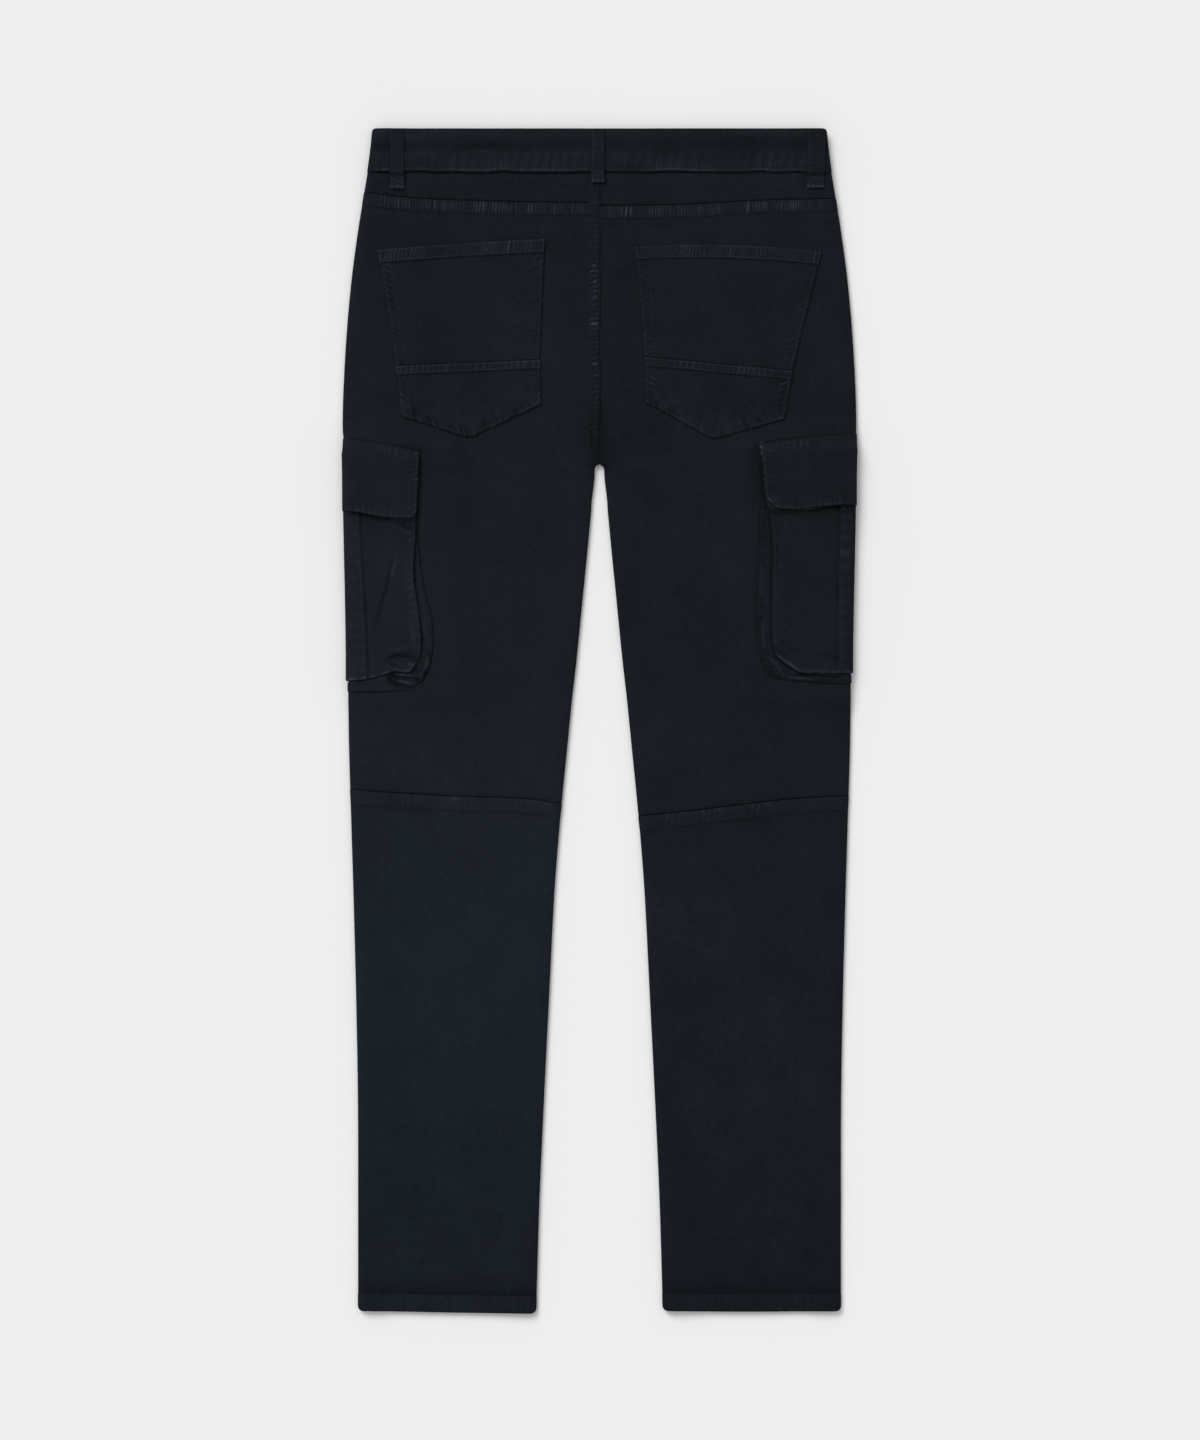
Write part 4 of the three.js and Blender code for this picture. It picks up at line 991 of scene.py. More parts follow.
def make_waistband(name, face, ends):
    """A waistband of one layer, between two distances from the centre, folded round the sides that it reaches."""
    half = float(outer_at(WAIST_TOP - BAND_DEEP / 2))
    run = stops(half, 1.1 if face == BACK else 1.9, start=FOLD_REACH, soft=())
    edge = SEAM_GAP / 2
    left, right = run - half, (half - run)[::-1]
    if len(ends) == 2:
        across = np.array([*left, *right[1:]])
    else:
        across = np.array([*left[:-1], -edge]) if ends[0] == LEFT else np.array([edge, *right[1:]])
    height = waistband_height(face)

    def place(u, v):
        closed = ramp(v, BAND_DEEP - 2, BAND_DEEP - SEAM_GAP) * ramp(np.abs(u), half - 9, half)
        y = WAIST_TOP - v - 0.9 * SEAM_GAP * closed
        q = half - np.abs(u)
        q = q + slope(q, FOLD_REACH, half) * (outer_at(y) - half)
        q = q + rounded_corner(v, WAIST_CORNER) * ramp(q, FOLD_REACH, 0)
        x = np.where(u < 0, -1, 1) * (outer_at(y) - q)
        h, worn_and_painted_light = height(x, v)
        h = h + np.zeros(np.shape(x))
        points = np.where((u < 0)[:, None], skin(LEFT, q, y, h, face), skin(RIGHT, q, y, h, face))
        drop = dip_at(points[:, 0]) if face == FRONT else 0
        edge_wave = waist_wave(x) * ramp(v, 30, 41) if face == BACK else 0
        points[:, 1] -= drop - edge_wave
        return points, worn_and_painted_light

    cloth(name, across, stops(BAND_DEEP - SEAM_GAP, 1.3), place, face, 1.5)


def make_loop(name, x, face, end, felled, wide):
    """A belt loop along the waistband, tacked down at both ends with its lower end turned under."""
    start = WAIST_TOP - 0.6 - (FRONT_DIP * float(ramp(abs(x), 190, 0)) if face == FRONT else 0)
    seam = start - BAND_DEEP
    seed = abs(x)

    def place(u, v):
        y = start - v
        on_band = BAND_OUT[face] + SEAM_GAP + 1.5 + 0.25 * bell(v - 8, 9)
        on_panel = felled + 1.9
        h = mix(on_panel, on_band, ramp(y, seam - 2.5, seam + 1.5))
        h = h + turned(u, 0.9, 1.5) + turned(wide - u, 0.9, 1.5) + turned(v, 0.8, 1.2)
        h = h + turned(y - end, 0.6, 1.0) + sewn(u - 2.4, 0.2) + sewn(wide - u - 2.4, 0.2)
        tack = bell(v - 2.6, 1.2) + bell(y - end - 2.2, 1.2) + 0.8 * bell(y - end - LOOP_TAB, 1.2)
        middle = np.sin(np.pi * np.clip(u / wide, 0.05, 0.95))
        bulge = 0.3 * (ridges(y + 0 * u, 6, seed) - 0.4) * middle
        h = h - 0.5 * tack * middle + bulge
        edge = np.minimum(u, wide - u)
        tab = ramp(y, end + LOOP_TAB, end + LOOP_TAB - 3)
        # A painted highlight just inside each edge and painted shade right at it, paler ridges, a painted highlight on
        # the turned-under tab and painted shade at its fold.
        worn_and_painted_light = 0.16 * bell(edge - 1.3, 0.7) - 0.18 * np.exp(-edge / 0.6) + 0.12 * ridges(y + 0 * u, 6, seed)
        worn_and_painted_light = worn_and_painted_light + tab * (0.5 * bell(y - end - 2.0, 1.3) + 0.3 * ridges(y + 0.4 * u, 4, seed + 1))
        worn_and_painted_light = worn_and_painted_light - 0.2 * bell(y - end - LOOP_TAB, 1.0)
        return over(x - wide / 2 + u, y, np.maximum(h, 0.4), face), worn_and_painted_light

    cloth(name, stops(wide, 0.8), stops(start - end, 1.0), place, face, 1.0)


def make_fly():
    """The fly, on the left front beside the centre, ending in a curve."""
    top = WAIST_SEAM - FRONT_DIP - 1
    long = top - FLY_END

    def place(u, v):
        y = top - v
        curl = np.clip((v / long - 0.7) / 0.3, 0, 1)
        wide = FLY_WIDE * np.maximum(0.25, np.sqrt(1 - curl * curl))
        points = over(-SEAM_GAP - wide * u, y, SEAM_GAP, FRONT)
        points[:, 2] = np.maximum(0, points[:, 2] - 1.2)
        return points, 0 * u

    cloth("fly_placket", np.linspace(0, 1, 20), stops(long, 4), place, FRONT, 0.9)


def bent(a, middle, b, t):
    """Places on a line through three, bent at the middle one."""
    share = (middle[0] - a[0]) / (b[0] - a[0])
    lifted = middle[1] - mix(a[1], b[1], share)
    return mix(a[0], b[0], t), mix(a[1], b[1], t) + lifted * t * (1 - t) / (share * (1 - share))


def straight(a, b, t):
    return mix(a[0], b[0], t), mix(a[1], b[1], t)


def pocket_lines(side):
    """The top edge, the seam across and the bottom edge of a back pocket, each from its outer side, t 0 to 1."""
    p = POCKETS[side]
    tip = (p["tip"][0] - p["low_out"][0]) / (p["low_in"][0] - p["low_out"][0])

    def low(t):
        x, first = straight(p["low_out"], p["tip"], np.minimum(t / tip, 1))
        x2, second = straight(p["tip"], p["low_in"], np.clip((t - tip) / (1 - tip), 0, 1))
        soft = ramp(t, tip - 0.035, tip + 0.035)
        return np.where(t < tip, x, x2), mix(first, second, np.where(t < tip, 0, 1)) + 1.2 * soft * (1 - soft) * 4

    return (
        lambda t: bent(p["top_out"], p["top_mid"], p["top_in"], t),
        lambda t: straight(p["seam_out"], p["seam_in"], t),
        low,
        tip,
    )


def pocket_part(name, upper, lower, steps, height, thick=None, trim=(0, 0)):
    """A part of a back pocket between two lines, told h and the wear, with painted highlight and shade in it, by u and
    v and its distances from the edges.
    """
    t = np.linspace(0, 1, 9)
    (ax, ay), (bx, by) = upper(t), lower(t)
    wide = float(np.hypot(ax[-1] - ax[0], ay[-1] - ay[0]) + np.hypot(bx[-1] - bx[0], by[-1] - by[0])) / 2
    long = float(np.mean(np.hypot(ax - bx, ay - by)))

    def place(u, v):
        (ax, ay), (bx, by) = upper(u), lower(u)
        x, y = mix(ax, bx, v), mix(ay, by, v)
        tall = np.hypot(ax - bx, ay - by)
        out, inwards = u * wide, (1 - u) * wide
        h, worn_and_painted_light = height(x, y, v * tall, (1 - v) * tall, out, inwards)
        return over(x, y, h + ground(x, y)), worn_and_painted_light

    cloth(name, stops(wide, steps[0]) / wide, stops(long, steps[1]) / long, place, BACK, thick)


def make_back_pocket(side):
    """A back pocket: the cloth above and below its seam, with the hem and the felled seam on it."""
    tag = side_name(side)
    top, seam, low, tip = pocket_lines(side)
    lift = POCKET_LIFT + CLOTH
    seed = 120 + 10 * side

    def edge_puckers(x, y, edge, along):
        near = np.exp(-np.maximum(edge - 2, 0) / 5)
        return 0.75 * (ridges(along, 6.2, seed) - 0.4) * near + sewn(edge - 2) + sewn(edge - 8.2)

    def edge_wear_and_light(edge, along):
        # Painted shade right at the edge, painted highlight on the rolled edge, on the pucker crests and on the stitch
        # rows, and paler patches near the edge.
        near = bell(edge - 5, 4.5) * (0.5 + np.clip(noise(edge / 4, along / 9, seed + 9), -0.5, 0.8))
        crest = ridges(along + 0.5 * edge, 6.2, seed)
        beads = bell(edge - 2, 0.9) + 0.7 * bell(edge - 8.2, 0.9)
        worn_and_painted_light = 0.22 * (0.2 + crest) * bell(edge - 1.4, 0.6) - 0.24 * np.exp(-edge / 0.6)
        return worn_and_painted_light + near * (0.6 * crest - 0.16) + 0.3 * beads * crest**2

    def upper_height(x, y, down, up, out, inwards):
        side_edge = np.minimum(out, inwards)
        h = lift + edge_puckers(x, y, side_edge, y) + turned(side_edge, 0.9, 1.3) + turned(down, 0.6, 1.1)
        h = h + 0.4 * (ridges(x + 0.4 * y, 11, seed + 2) - 0.4) * np.exp(-np.maximum(down - POCKET_HEM, 0) / 16)
        h = h + pulled(up, x, 9, seed + 3, 8) + turned(up, 0.4, 1)
        return h, edge_wear_and_light(side_edge, y)

    def lower_height(x, y, down, up, out, inwards):
        edge = np.minimum(np.minimum(out, inwards), up)
        along = np.where(up < np.minimum(out, inwards), x, y)
        h = lift + edge_puckers(x, y, edge, along) + turned(edge, 0.9, 1.3) + turned(down, 0.4, 1)
        h = h + pulled(down - POCKET_FELL, x, 7, seed + 4, 7)
        patches = np.exp(-np.maximum(up - 1, 0) / 16) * noise(x / 4.5, y / 7, seed + 5)
        return h + 0.45 * patches, edge_wear_and_light(edge, along) + 0.2 * patches

    def strip_height(deep, pitch, worn_and_painted_light, rise):
        def height(x, y, down, up, out, inwards):
            dome = np.sin(np.pi * np.clip(down / (down + up), 0.03, 0.97)) ** 0.6
            crest = ridges(x + 0.2 * down, pitch, seed + 6)
            ends = np.minimum(out, inwards)
            strength = 0.4 + 0.6 * ramp(noise(x / 22, 0 * x, seed + 8), -0.45, 0.3)
            h = lift + rise + 0.2 * dome + 0.6 * strength * (crest - 0.4) * dome + sewn(up - STITCH_IN)
            h = h + turned(down, 0.6, 1) + turned(up, 0.5, 0.9) + turned(ends, 0.9, 1.3) + edge_puckers(x, y, ends, y)
            # Pale crests, partly rubbed wear and partly painted highlight, painted highlights along the ends and the
            # upper edge, and painted shade lines along the edges.
            rubbed_and_lit = worn_and_painted_light * strength * (1.1 * crest - 0.15) * dome + 0.3 * bell(ends - 1.2, 0.8)
            rubbed_and_lit = rubbed_and_lit + 0.3 * strength * bell(down - 1.3, 0.8) - 0.2 * (bell(down, 0.45) + bell(ends, 0.5))
            return h, rubbed_and_lit + 0.15 * strength * bell(up - 2, 1) - 0.12 * bell(up, 0.6)

        return height

    def towards(upper, lower, distance):
        """A line at that distance below upper, on the way to lower."""

        def line(t):
            (ax, ay), (bx, by) = upper(t), lower(t)
            share = distance / np.hypot(ax - bx, ay - by)
            return mix(ax, bx, share), mix(ay, by, share)

        return line

    pocket_part(f"pocket_upper_{tag}", top, towards(seam, top, SEAM_GAP), (1.9, 2.0), upper_height)
    pocket_part(f"pocket_lower_{tag}", seam, low, (1.7, 1.5), lower_height)
    hem_end = towards(top, seam, POCKET_HEM)
    hem = strip_height(POCKET_HEM, 3.3, 0.75, 0.75)
    pocket_part(f"pocket_hem_{tag}", top, hem_end, (0.85, 1.1), hem, 0.6)
    fell = strip_height(POCKET_FELL, 5.6, 0.5, 0.75)
    pocket_part(f"pocket_seam_{tag}", seam, towards(seam, low, POCKET_FELL), (1.0, 0.9), fell, 0.6)


def wrapped(side, q, y, h):
    """Points round the folded side of a leg, where q is negative underneath."""
    back, front = skin(side, np.abs(q), y, h, BACK), skin(side, np.abs(q), y, h, FRONT)
    return np.where((q < 0)[:, None], front, back)


def around_fold(start, end, step, dense):
    """Stops in q from start to end across the folded side, dense round the fold and at the named places."""
    turn = [FOLD_REACH * (1 - math.cos(math.radians(k))) for k in (0, 6, 14, 24, 36, 48, 60, 72, 82)]
    fold = [*[-t for t in reversed(turn)], *turn[1:]]
    fixed = np.unique(np.round([start, *fold, *dense, end], 4))
    fixed = fixed[(fixed >= start) & (fixed <= end)]
    filled = [even(a, b, step) if b - a > 1.4 * step else np.array([a, b]) for a, b in zip(fixed, fixed[1:])]
    return np.unique(np.round(np.concatenate(filled), 4))


def make_bag(side):
    """The cargo pocket's bag: one cloth wrapped round the side of the leg, with a box pleat down its middle."""
    bag, tag = CARGO[side], side_name(side)
    rear, bottom = curve([(y, q) for y, q in bag["rear"]]), curve(bag["bottom"])
    pleat_top, pleat_low = bag["pleat_line"]
    flap_low = curve(bag["flap_bottom"])
    seed = 150 + 10 * side

    def place(u, v):
        low = bottom(u)
        y = mix(low, bag["top"], v)
        q = np.where(u > 48, mix(48, rear(y), (u - 48) / 20), u)
        rear_edge = np.where(u > 48, (68 - u) / 20 * (rear(y) - 48), 99.0)
        pleat = mix(pleat_low, pleat_top, slope(y, 50, 190))
        puffed = BAG_LIFT + BAG_CLOTH + BELLOWS * ramp(q, 30, 48) - 0.35 * ramp(rear_edge, 4, 0)
        on_pleat = ramp(q, pleat + 0.7, pleat) * ramp(q, bag["pleat"][0] - 0.8, bag["pleat"][0])
        up = y - low
        relief = sizes().crease * creases(BAG_CREASES[side], q, y) * ramp(q, 2, 12)
        relief = relief + 0.5 * noise(q / 17, y / 26, seed) * ramp(q, 4, 14)
        relief = relief + 0.5 * (ridges(q + 0.2 * up, 6.5, seed + 1) - 0.4) * np.exp(-up / 9) * ramp(q, 3, 12)
        bars = ridges(y, 7.0, seed + 2) * bell(q - pleat + 3.5, 4.0)
        relief = relief + 0.5 * (bars - 0.3) * bell(q - pleat + 3.5, 5.0) * ramp(q, 2, 7)
        relief = relief - 0.5 * bell(q - pleat - 1.4, 1.3) * ramp(q, 4, 9)
        relief = relief + 0.5 * (ridges(y, 8.5, seed + 3) - 0.4) * np.exp(-rear_edge / 5)
        h = mix(puffed, PLEAT_OUT, on_pleat) + relief + turned(up, 1.0, 1.8) + turned(rear_edge, 1.1, 2.2)
        h = h + sewn(q - pleat + PLEAT_ROW, 0.2) * ramp(q, 4, 9)
        blocks = ridges(y, 11.0, seed + 2) * ramp(q, 2, 5) - 0.3
        # Paler blocks on the pleat, and painted shade along the bag's bottom edge.
        worn_and_painted_light = (0.07 + bag["pleat_blocks"] * blocks) * on_pleat - 0.18 * bell(up, 0.5)
        # A painted highlight along the bottom rim, wider at the right pocket's corner.
        at_corner = bell(q - 58, 14) if side == RIGHT else 0
        rim = (0.75 + 0.5 * at_corner) * bell(up - 1.4, 1.1 + 0.6 * at_corner)
        worn_and_painted_light = worn_and_painted_light + rim * mix(0.3, 1, ridges(q, 13, seed + 6))
        # Along the rear edge, pale ridges: partly rubbed wear, partly painted highlight.
        rear_ridges = bell(rear_edge - 1.4, 0.9) + 1.3 * bell(rear_edge - 5, 3.4) * ridges(y, 6.5, seed + 3)
        worn_and_painted_light = worn_and_painted_light + bag["rubbed_and_lit"] * rear_ridges
        # Painted shade lines beside the pleat and at the rear edge.
        worn_and_painted_light = worn_and_painted_light - 0.12 * bell(q - pleat - 1.2, 0.9) - 0.24 * bell(rear_edge, 0.8)
        # The creases painted: shade in their troughs, highlight on their ridges.
        worn_and_painted_light = worn_and_painted_light + bag["folded"] * np.clip(creases(BAG_CREASES[side], q, y), -0.5, 1)
        # Painted shadow under the flap.
        under_flap = flap_low(np.clip(q, -60, 60)) - y
        worn_and_painted_light = worn_and_painted_light - (0.24 * bell(under_flap - 1.5, 2.4) + 0.08 * bell(under_flap - 4, 7)) * ramp(q, 0, 8)
        # Painted highlights on the puckers along the stitch row beside the pleat.
        beads = ridges(y, 5.4, seed + 4) ** 2 * bell(q - pleat + PLEAT_ROW, 1.0) * ramp(q, 4, 9)
        worn_and_painted_light = worn_and_painted_light + 0.35 * beads
        return wrapped(side, q, y, np.maximum(h, 0.2)), worn_and_painted_light

    edges = [pleat + step for pleat in (pleat_top, pleat_low) for step in (-1, 0, 0.7, 1.4)]
    dense = (bag["pleat"][0] - 0.8, bag["pleat"][0], *edges)
    across = around_fold(bag["front"], 68, 1.5, dense)
    cloth(f"bag_{tag}", across, stops(1, 0.0095, soft=(0.0015, 0.004, 0.008)), place, BACK, 1.0)


def make_gusset(side):
    """The folded strip round the open edge of the bag, tucked under it at the back."""
    tag = side_name(side)
    rows = np.array(CARGO[side]["gusset"], float)
    run = np.concatenate([[0], np.cumsum(np.hypot(*np.diff(rows[:, :2], axis=0).T))])
    columns = [curve(np.stack([run, rows[:, k]], axis=1)) for k in range(4)]
    seed = 170 + 10 * side

    def place(u, v):
        q, y, out_q, out_y = (column(v) for column in columns)
        wide = np.hypot(out_q - q, out_y - y)
        tuck = mix(-3 * SEAM_GAP, 3, ramp(q, 50, 56)) / wide
        share = mix(-tuck, 1, u)
        from_bag, from_edge = share * wide, (1 - u) * wide
        at_q, at_y = mix(q, out_q, share), mix(y, out_y, share)
        back = ramp(at_q, 2, 12)
        long_fold = bell(from_bag - 0.45 * wide - 1.2 * noise(v / 22, 0 * v, seed + 2), 1.4)
        long_fold = long_fold * ramp(noise(v / 30, 0 * v, seed + 5), -0.5, 0.4)
        h = GUSSET_OUT - 0.2 + turned(from_edge, 1.0, 1.6) - 0.55 * bell(from_bag - 0.5, 1.8) * back
        h = h + (0.65 * (ridges(v + 0.3 * from_bag, 10, seed) - 0.4) + 0.25 * bell(from_edge - 3, 2.2)) * back
        folds = creases(GUSSET_CREASES[side], at_q, at_y)
        h = h + (sewn(from_edge - 1.9, 0.18) - 0.5 * long_fold + 0.8 * sizes().crease * folds) * back
        # Painted highlights near the outer edge and on the pucker ridges, partly rubbed wear.
        worn_and_painted_light = 0.05 * bell(from_edge - 1.6, 0.9) + 0.14 * bell(from_edge - 3.5, 2) * ridges(v, 8, seed)
        worn_and_painted_light = worn_and_painted_light + 0.2 * (ridges(v + 0.4 * from_bag, 5.6, seed + 3) - 0.3) * noise(v / 9, u / 0.5, seed + 4)
        # Painted shade in the trough beside the bag, along the long fold and right at the outer edge.
        worn_and_painted_light = worn_and_painted_light - 0.36 * np.exp(-np.abs(from_bag - 0.4) / 0.9) - 0.08 * long_fold - 0.34 * bell(from_edge, 0.8)
        # The creases painted: shade in their troughs, highlight on their ridges.
        worn_and_painted_light = worn_and_painted_light + (0.5 if side == RIGHT else 0.7) * np.clip(folds, -0.8, 0.8)
        # On the right, painted shade dims the outer edge where the light falls on it.
        worn_and_painted_light = worn_and_painted_light - (0.14 if side == RIGHT else 0) * bell(from_edge - 2.6, 2.6)
        return wrapped(side, at_q, at_y, np.maximum(h, 0.3)), worn_and_painted_light * back

    cloth(f"gusset_{tag}", stops(1, 0.07, soft=(0.03, 0.06)), even(0, run[-1], 1.2), place, BACK, 0.9)


def make_flap(side):
    """The flap: sewn to the leg along its top, over the mouth of the bag, and wrapped round the side with it."""
    bag, tag = CARGO[side], side_name(side)
    rear, top, bottom = curve(bag["flap_rear"]), curve(bag["flap_top"]), curve(bag["flap_bottom"])
    start = bag["flap_front"]
    seed = 190 + 10 * side

    def front_at(y):
        up = np.clip((y - bottom(start)) / FLAP_CORNER, 0, 1)
        return start + FLAP_CORNER * (1 - np.sqrt(up * (2 - up)))

    def rear_at(y):
        return rear(y) + bag["flap_wave"] * noise(y / 6, 0 * y, seed + 5)

    def reach(u, y):
        front, back = mix(front_at(y), -FOLD_REACH, u + 1), mix(FOLD_REACH, rear_at(y), u - 1)
        return np.where(u < 0, front, np.where(u > 1, back, (2 * u - 1) * FOLD_REACH))

    def place(u, v):
        first = reach(u, 230.0 + 0 * v)
        y = mix(bottom(first), top(first), v)
        q = reach(u, y)
        at_side = slope(q, -4, 4)
        thick = mix(FLAP_CLOTH[FRONT], FLAP_CLOTH[BACK], at_side)
        risen = mix(FLAP_LIFT[FRONT], FLAP_LIFT[BACK], at_side)
        down, up = top(q) - y, y - bottom(q)
        side_edge = np.where(q > 0, rear_at(y) - q, q - front_at(y))
        edge = np.minimum(side_edge, up)
        back = ramp(q, 2, 12)
        h = mix(BAG_LIFT, risen, slope(down, 0, FLAP_SEWN)) + thick + turned(down, 0.9, 1.4) - FLAP_PRESSED * bell(q, 7)
        h = h + (turned(edge, 1.0, 1.6) + sewn(edge - 2) + sewn(edge - 8.5) + sewn(down - 2)) * back
        h = h + (sizes().crease * creases(FLAP_CREASES[side], q, y) + 0.5 * noise(q / 19, y / 14, seed)) * back
        h = h + 0.5 * (ridges(q, 6, seed + 1) - 0.4) * (np.exp(-up / 5) + np.exp(-down / 5)) * back
        h = h + 0.5 * (ridges(y, 5, seed + 2) - 0.4) * np.exp(-side_edge / 5) * back
        across, along = ridges(q, 5.4, seed + 1), ridges(y, 5.4, seed + 2)
        # Painted highlights, partly rubbed wear, along the rolled edges, on the pucker crests beside them and on the
        # ridges below the top.
        worn_and_painted_light = 0.4 * bell(edge - 1.5, 0.9) * (0.25 + 0.75 * np.where(up < side_edge, across, along))
        broken = 0.5 + np.clip(noise(y / 8, side_edge / 4, seed + 7), -0.5, 0.8)
        slanted = ridges(y + 0.4 * side_edge, 5.4, seed + 2)
        worn_and_painted_light = worn_and_painted_light + (0.9 * slanted - 0.15) * broken * np.exp(-side_edge / 7) + 0.5 * across * np.exp(-up / 5)
        worn_and_painted_light = worn_and_painted_light + 0.3 * across * ramp(down, 1.5, 3.5) * ramp(down, 11, 8) * ramp(q, 18, 40)
        # A painted highlight round the rounded rear corner, and on the stitch rows along the top.
        corner = bell(np.hypot(q - rear(bottom(60) + 6), y - bottom(60) - 6), 9)
        corner = corner * (bell(edge - 2.2, 1.8) + 0.6 * bell(edge - 8, 1.6))
        worn_and_painted_light = worn_and_painted_light + 0.3 * across**2 * (bell(down - 2, 0.9) + bell(down - 9, 0.9)) + 0.6 * corner * (0.3 + along)
        # A painted highlight at the top of the rear edge.
        worn_and_painted_light = worn_and_painted_light + 0.35 * bell(q - float(rear(top(60))) + 2, 3) * bell(down - 2.5, 3)
        # Painted shade lines at the edges and along the top, where the flap meets the leg, and a little darker all
        # over.
        worn_and_painted_light = worn_and_painted_light - 0.26 * bell(edge, 0.7) - 0.55 * bell(down - 0.3, 1.0) - 0.03
        return wrapped(side, q, y, np.maximum(h, 0.3)), worn_and_painted_light * back

    share = [round((1 - math.cos(math.radians(k))), 4) for k in (0, 6, 14, 24, 36, 48, 60, 72, 82)]
    fold = [*[0.5 - s / 2 for s in reversed(share)], *[0.5 + s / 2 for s in share[1:]]]
    wide = float(rear(225)) - FOLD_REACH
    front = stops(1, 1.6 / (-start - FOLD_REACH), soft=(0.01,)) - 1
    back = stops(1, 1.4 / wide, soft=(0.004, 0.012, 0.024)) + 1
    across = np.unique(np.round([*front, 0, *fold, 1, *back], 5))
    cloth(f"flap_{tag}", across, stops(1, 0.022, soft=(0.004, 0.012, 0.024)), place, BACK, 1.1)


def sew(name, rows, tone):
    """Rows of stitches on pieces that are laid already. A row is a piece and its stops u and v by t, 0 to 1."""
    pitch, long = sizes().pitch, sizes().stitch
    wide, high = sizes().thread / 2, 0.42 * sizes().thread
    places = []
    for on, path in rows:
        if on not in laid:
            raise RuntimeError(f"{name} is sewn on {on}, which has to be made first")

        def points(t, on=on, path=path):
            u, v = path(t)
            return laid[on](u + 0 * t, v + 0 * t)[0] * MM

        fine = np.linspace(0, 1, 241)
        run = np.concatenate([[0], np.cumsum(np.linalg.norm(np.diff(points(fine), axis=0), axis=1))])
        count = max(2, int(run[-1] / pitch))
        at = np.interp((np.arange(count) + 0.5) / count * run[-1], run, fine)
        half = 0.4 * long / run[-1]
        middles = (points(np.maximum(at - half, 0)) + points(np.minimum(at + half, 1))) / 2
        leans = points(np.minimum(at + half, 1)) - points(np.maximum(at - half, 0))
        for middle, lean in zip(middles, leans):
            turn = Vector(lean).to_track_quat("X", "Z").to_matrix().to_4x4()
            size = Matrix.Diagonal((long / 2, wide, high, 1))
            places.append(Matrix.Translation(Vector(middle) + Vector((0, 0, 0.35 * high))) @ turn @ size)
    bm = bmesh.new()
    bmesh.ops.create_uvsphere(bm, u_segments=6, v_segments=4, radius=1)
    mesh = copies(name, bm, places)
    bm.free()
    mesh.shade_smooth()
    mesh.materials.append(sewing_thread(tone))
    piece = bpy.data.objects.new(name, mesh)
    bpy.context.collection.objects.link(piece)
    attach(piece, "root")
    return piece


def copies(name, bm, places):
    """A joined mesh of the same small shape at each of those places."""
    bm.verts.index_update()
    shape = np.array([(*v.co, 1) for v in bm.verts])
    faces = [[v.index for v in face.verts] for face in bm.faces]
    points = np.concatenate([shape @ np.array(place).T for place in places])[:, :3]
    mesh = bpy.data.meshes.new(name)
    mesh.from_pydata(points, [], [[i + k * len(shape) for i in face] for k in range(len(places)) for face in faces])
    return mesh


def row(on, u0, v0, u1, v1):
    """A straight row between two places of a piece."""
    return on, lambda t: (mix(u0, u1, t), mix(v0, v1, t))


def make_button():
    """The waist button: a domed metal disc with a rolled rim and a sunken middle, facing down."""
    radius, thick = BUTTON_RADIUS * MM, BUTTON_THICK * MM
    profile = ((0, 0.62), (0.3, 0.6), (0.52, 0.5), (0.6, 0.2), (0.68, 0.02), (0.8, 0), (0.92, 0.08), (1, 0.35))
    profile = (*profile, (1, 0.7), (0.93, 0.95), (0.85, 1), (0, 1))
    bm = bmesh.new()
    for near, far in zip(profile, profile[1:]):
        ends = [bm.verts.new((r * radius, 0, z * thick)) for r, z in (near, far)]
        bm.edges.new(ends)
    bmesh.ops.remove_doubles(bm, verts=bm.verts, dist=1e-7)
    bmesh.ops.spin(
        bm, geom=bm.verts[:] + bm.edges[:], cent=(0, 0, 0), axis=(0, 0, 1), angle=2 * math.pi, steps=48, use_merge=True
    )
    bmesh.ops.remove_doubles(bm, verts=bm.verts, dist=1e-6)
    bmesh.ops.recalc_face_normals(bm, faces=bm.faces)
    bmesh.ops.translate(bm, verts=bm.verts, vec=(BUTTON_X * MM, BUTTON_Y * MM, 0))
    mesh = bpy.data.meshes.new("button_waist")
    bm.to_mesh(mesh)
    bm.free()
    mesh.shade_smooth()
    mesh.materials.append(button_metal())
    piece = bpy.data.objects.new("button_waist", mesh)
    bpy.context.collection.objects.link(piece)
    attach(piece, "root")
    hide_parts("waist_button")


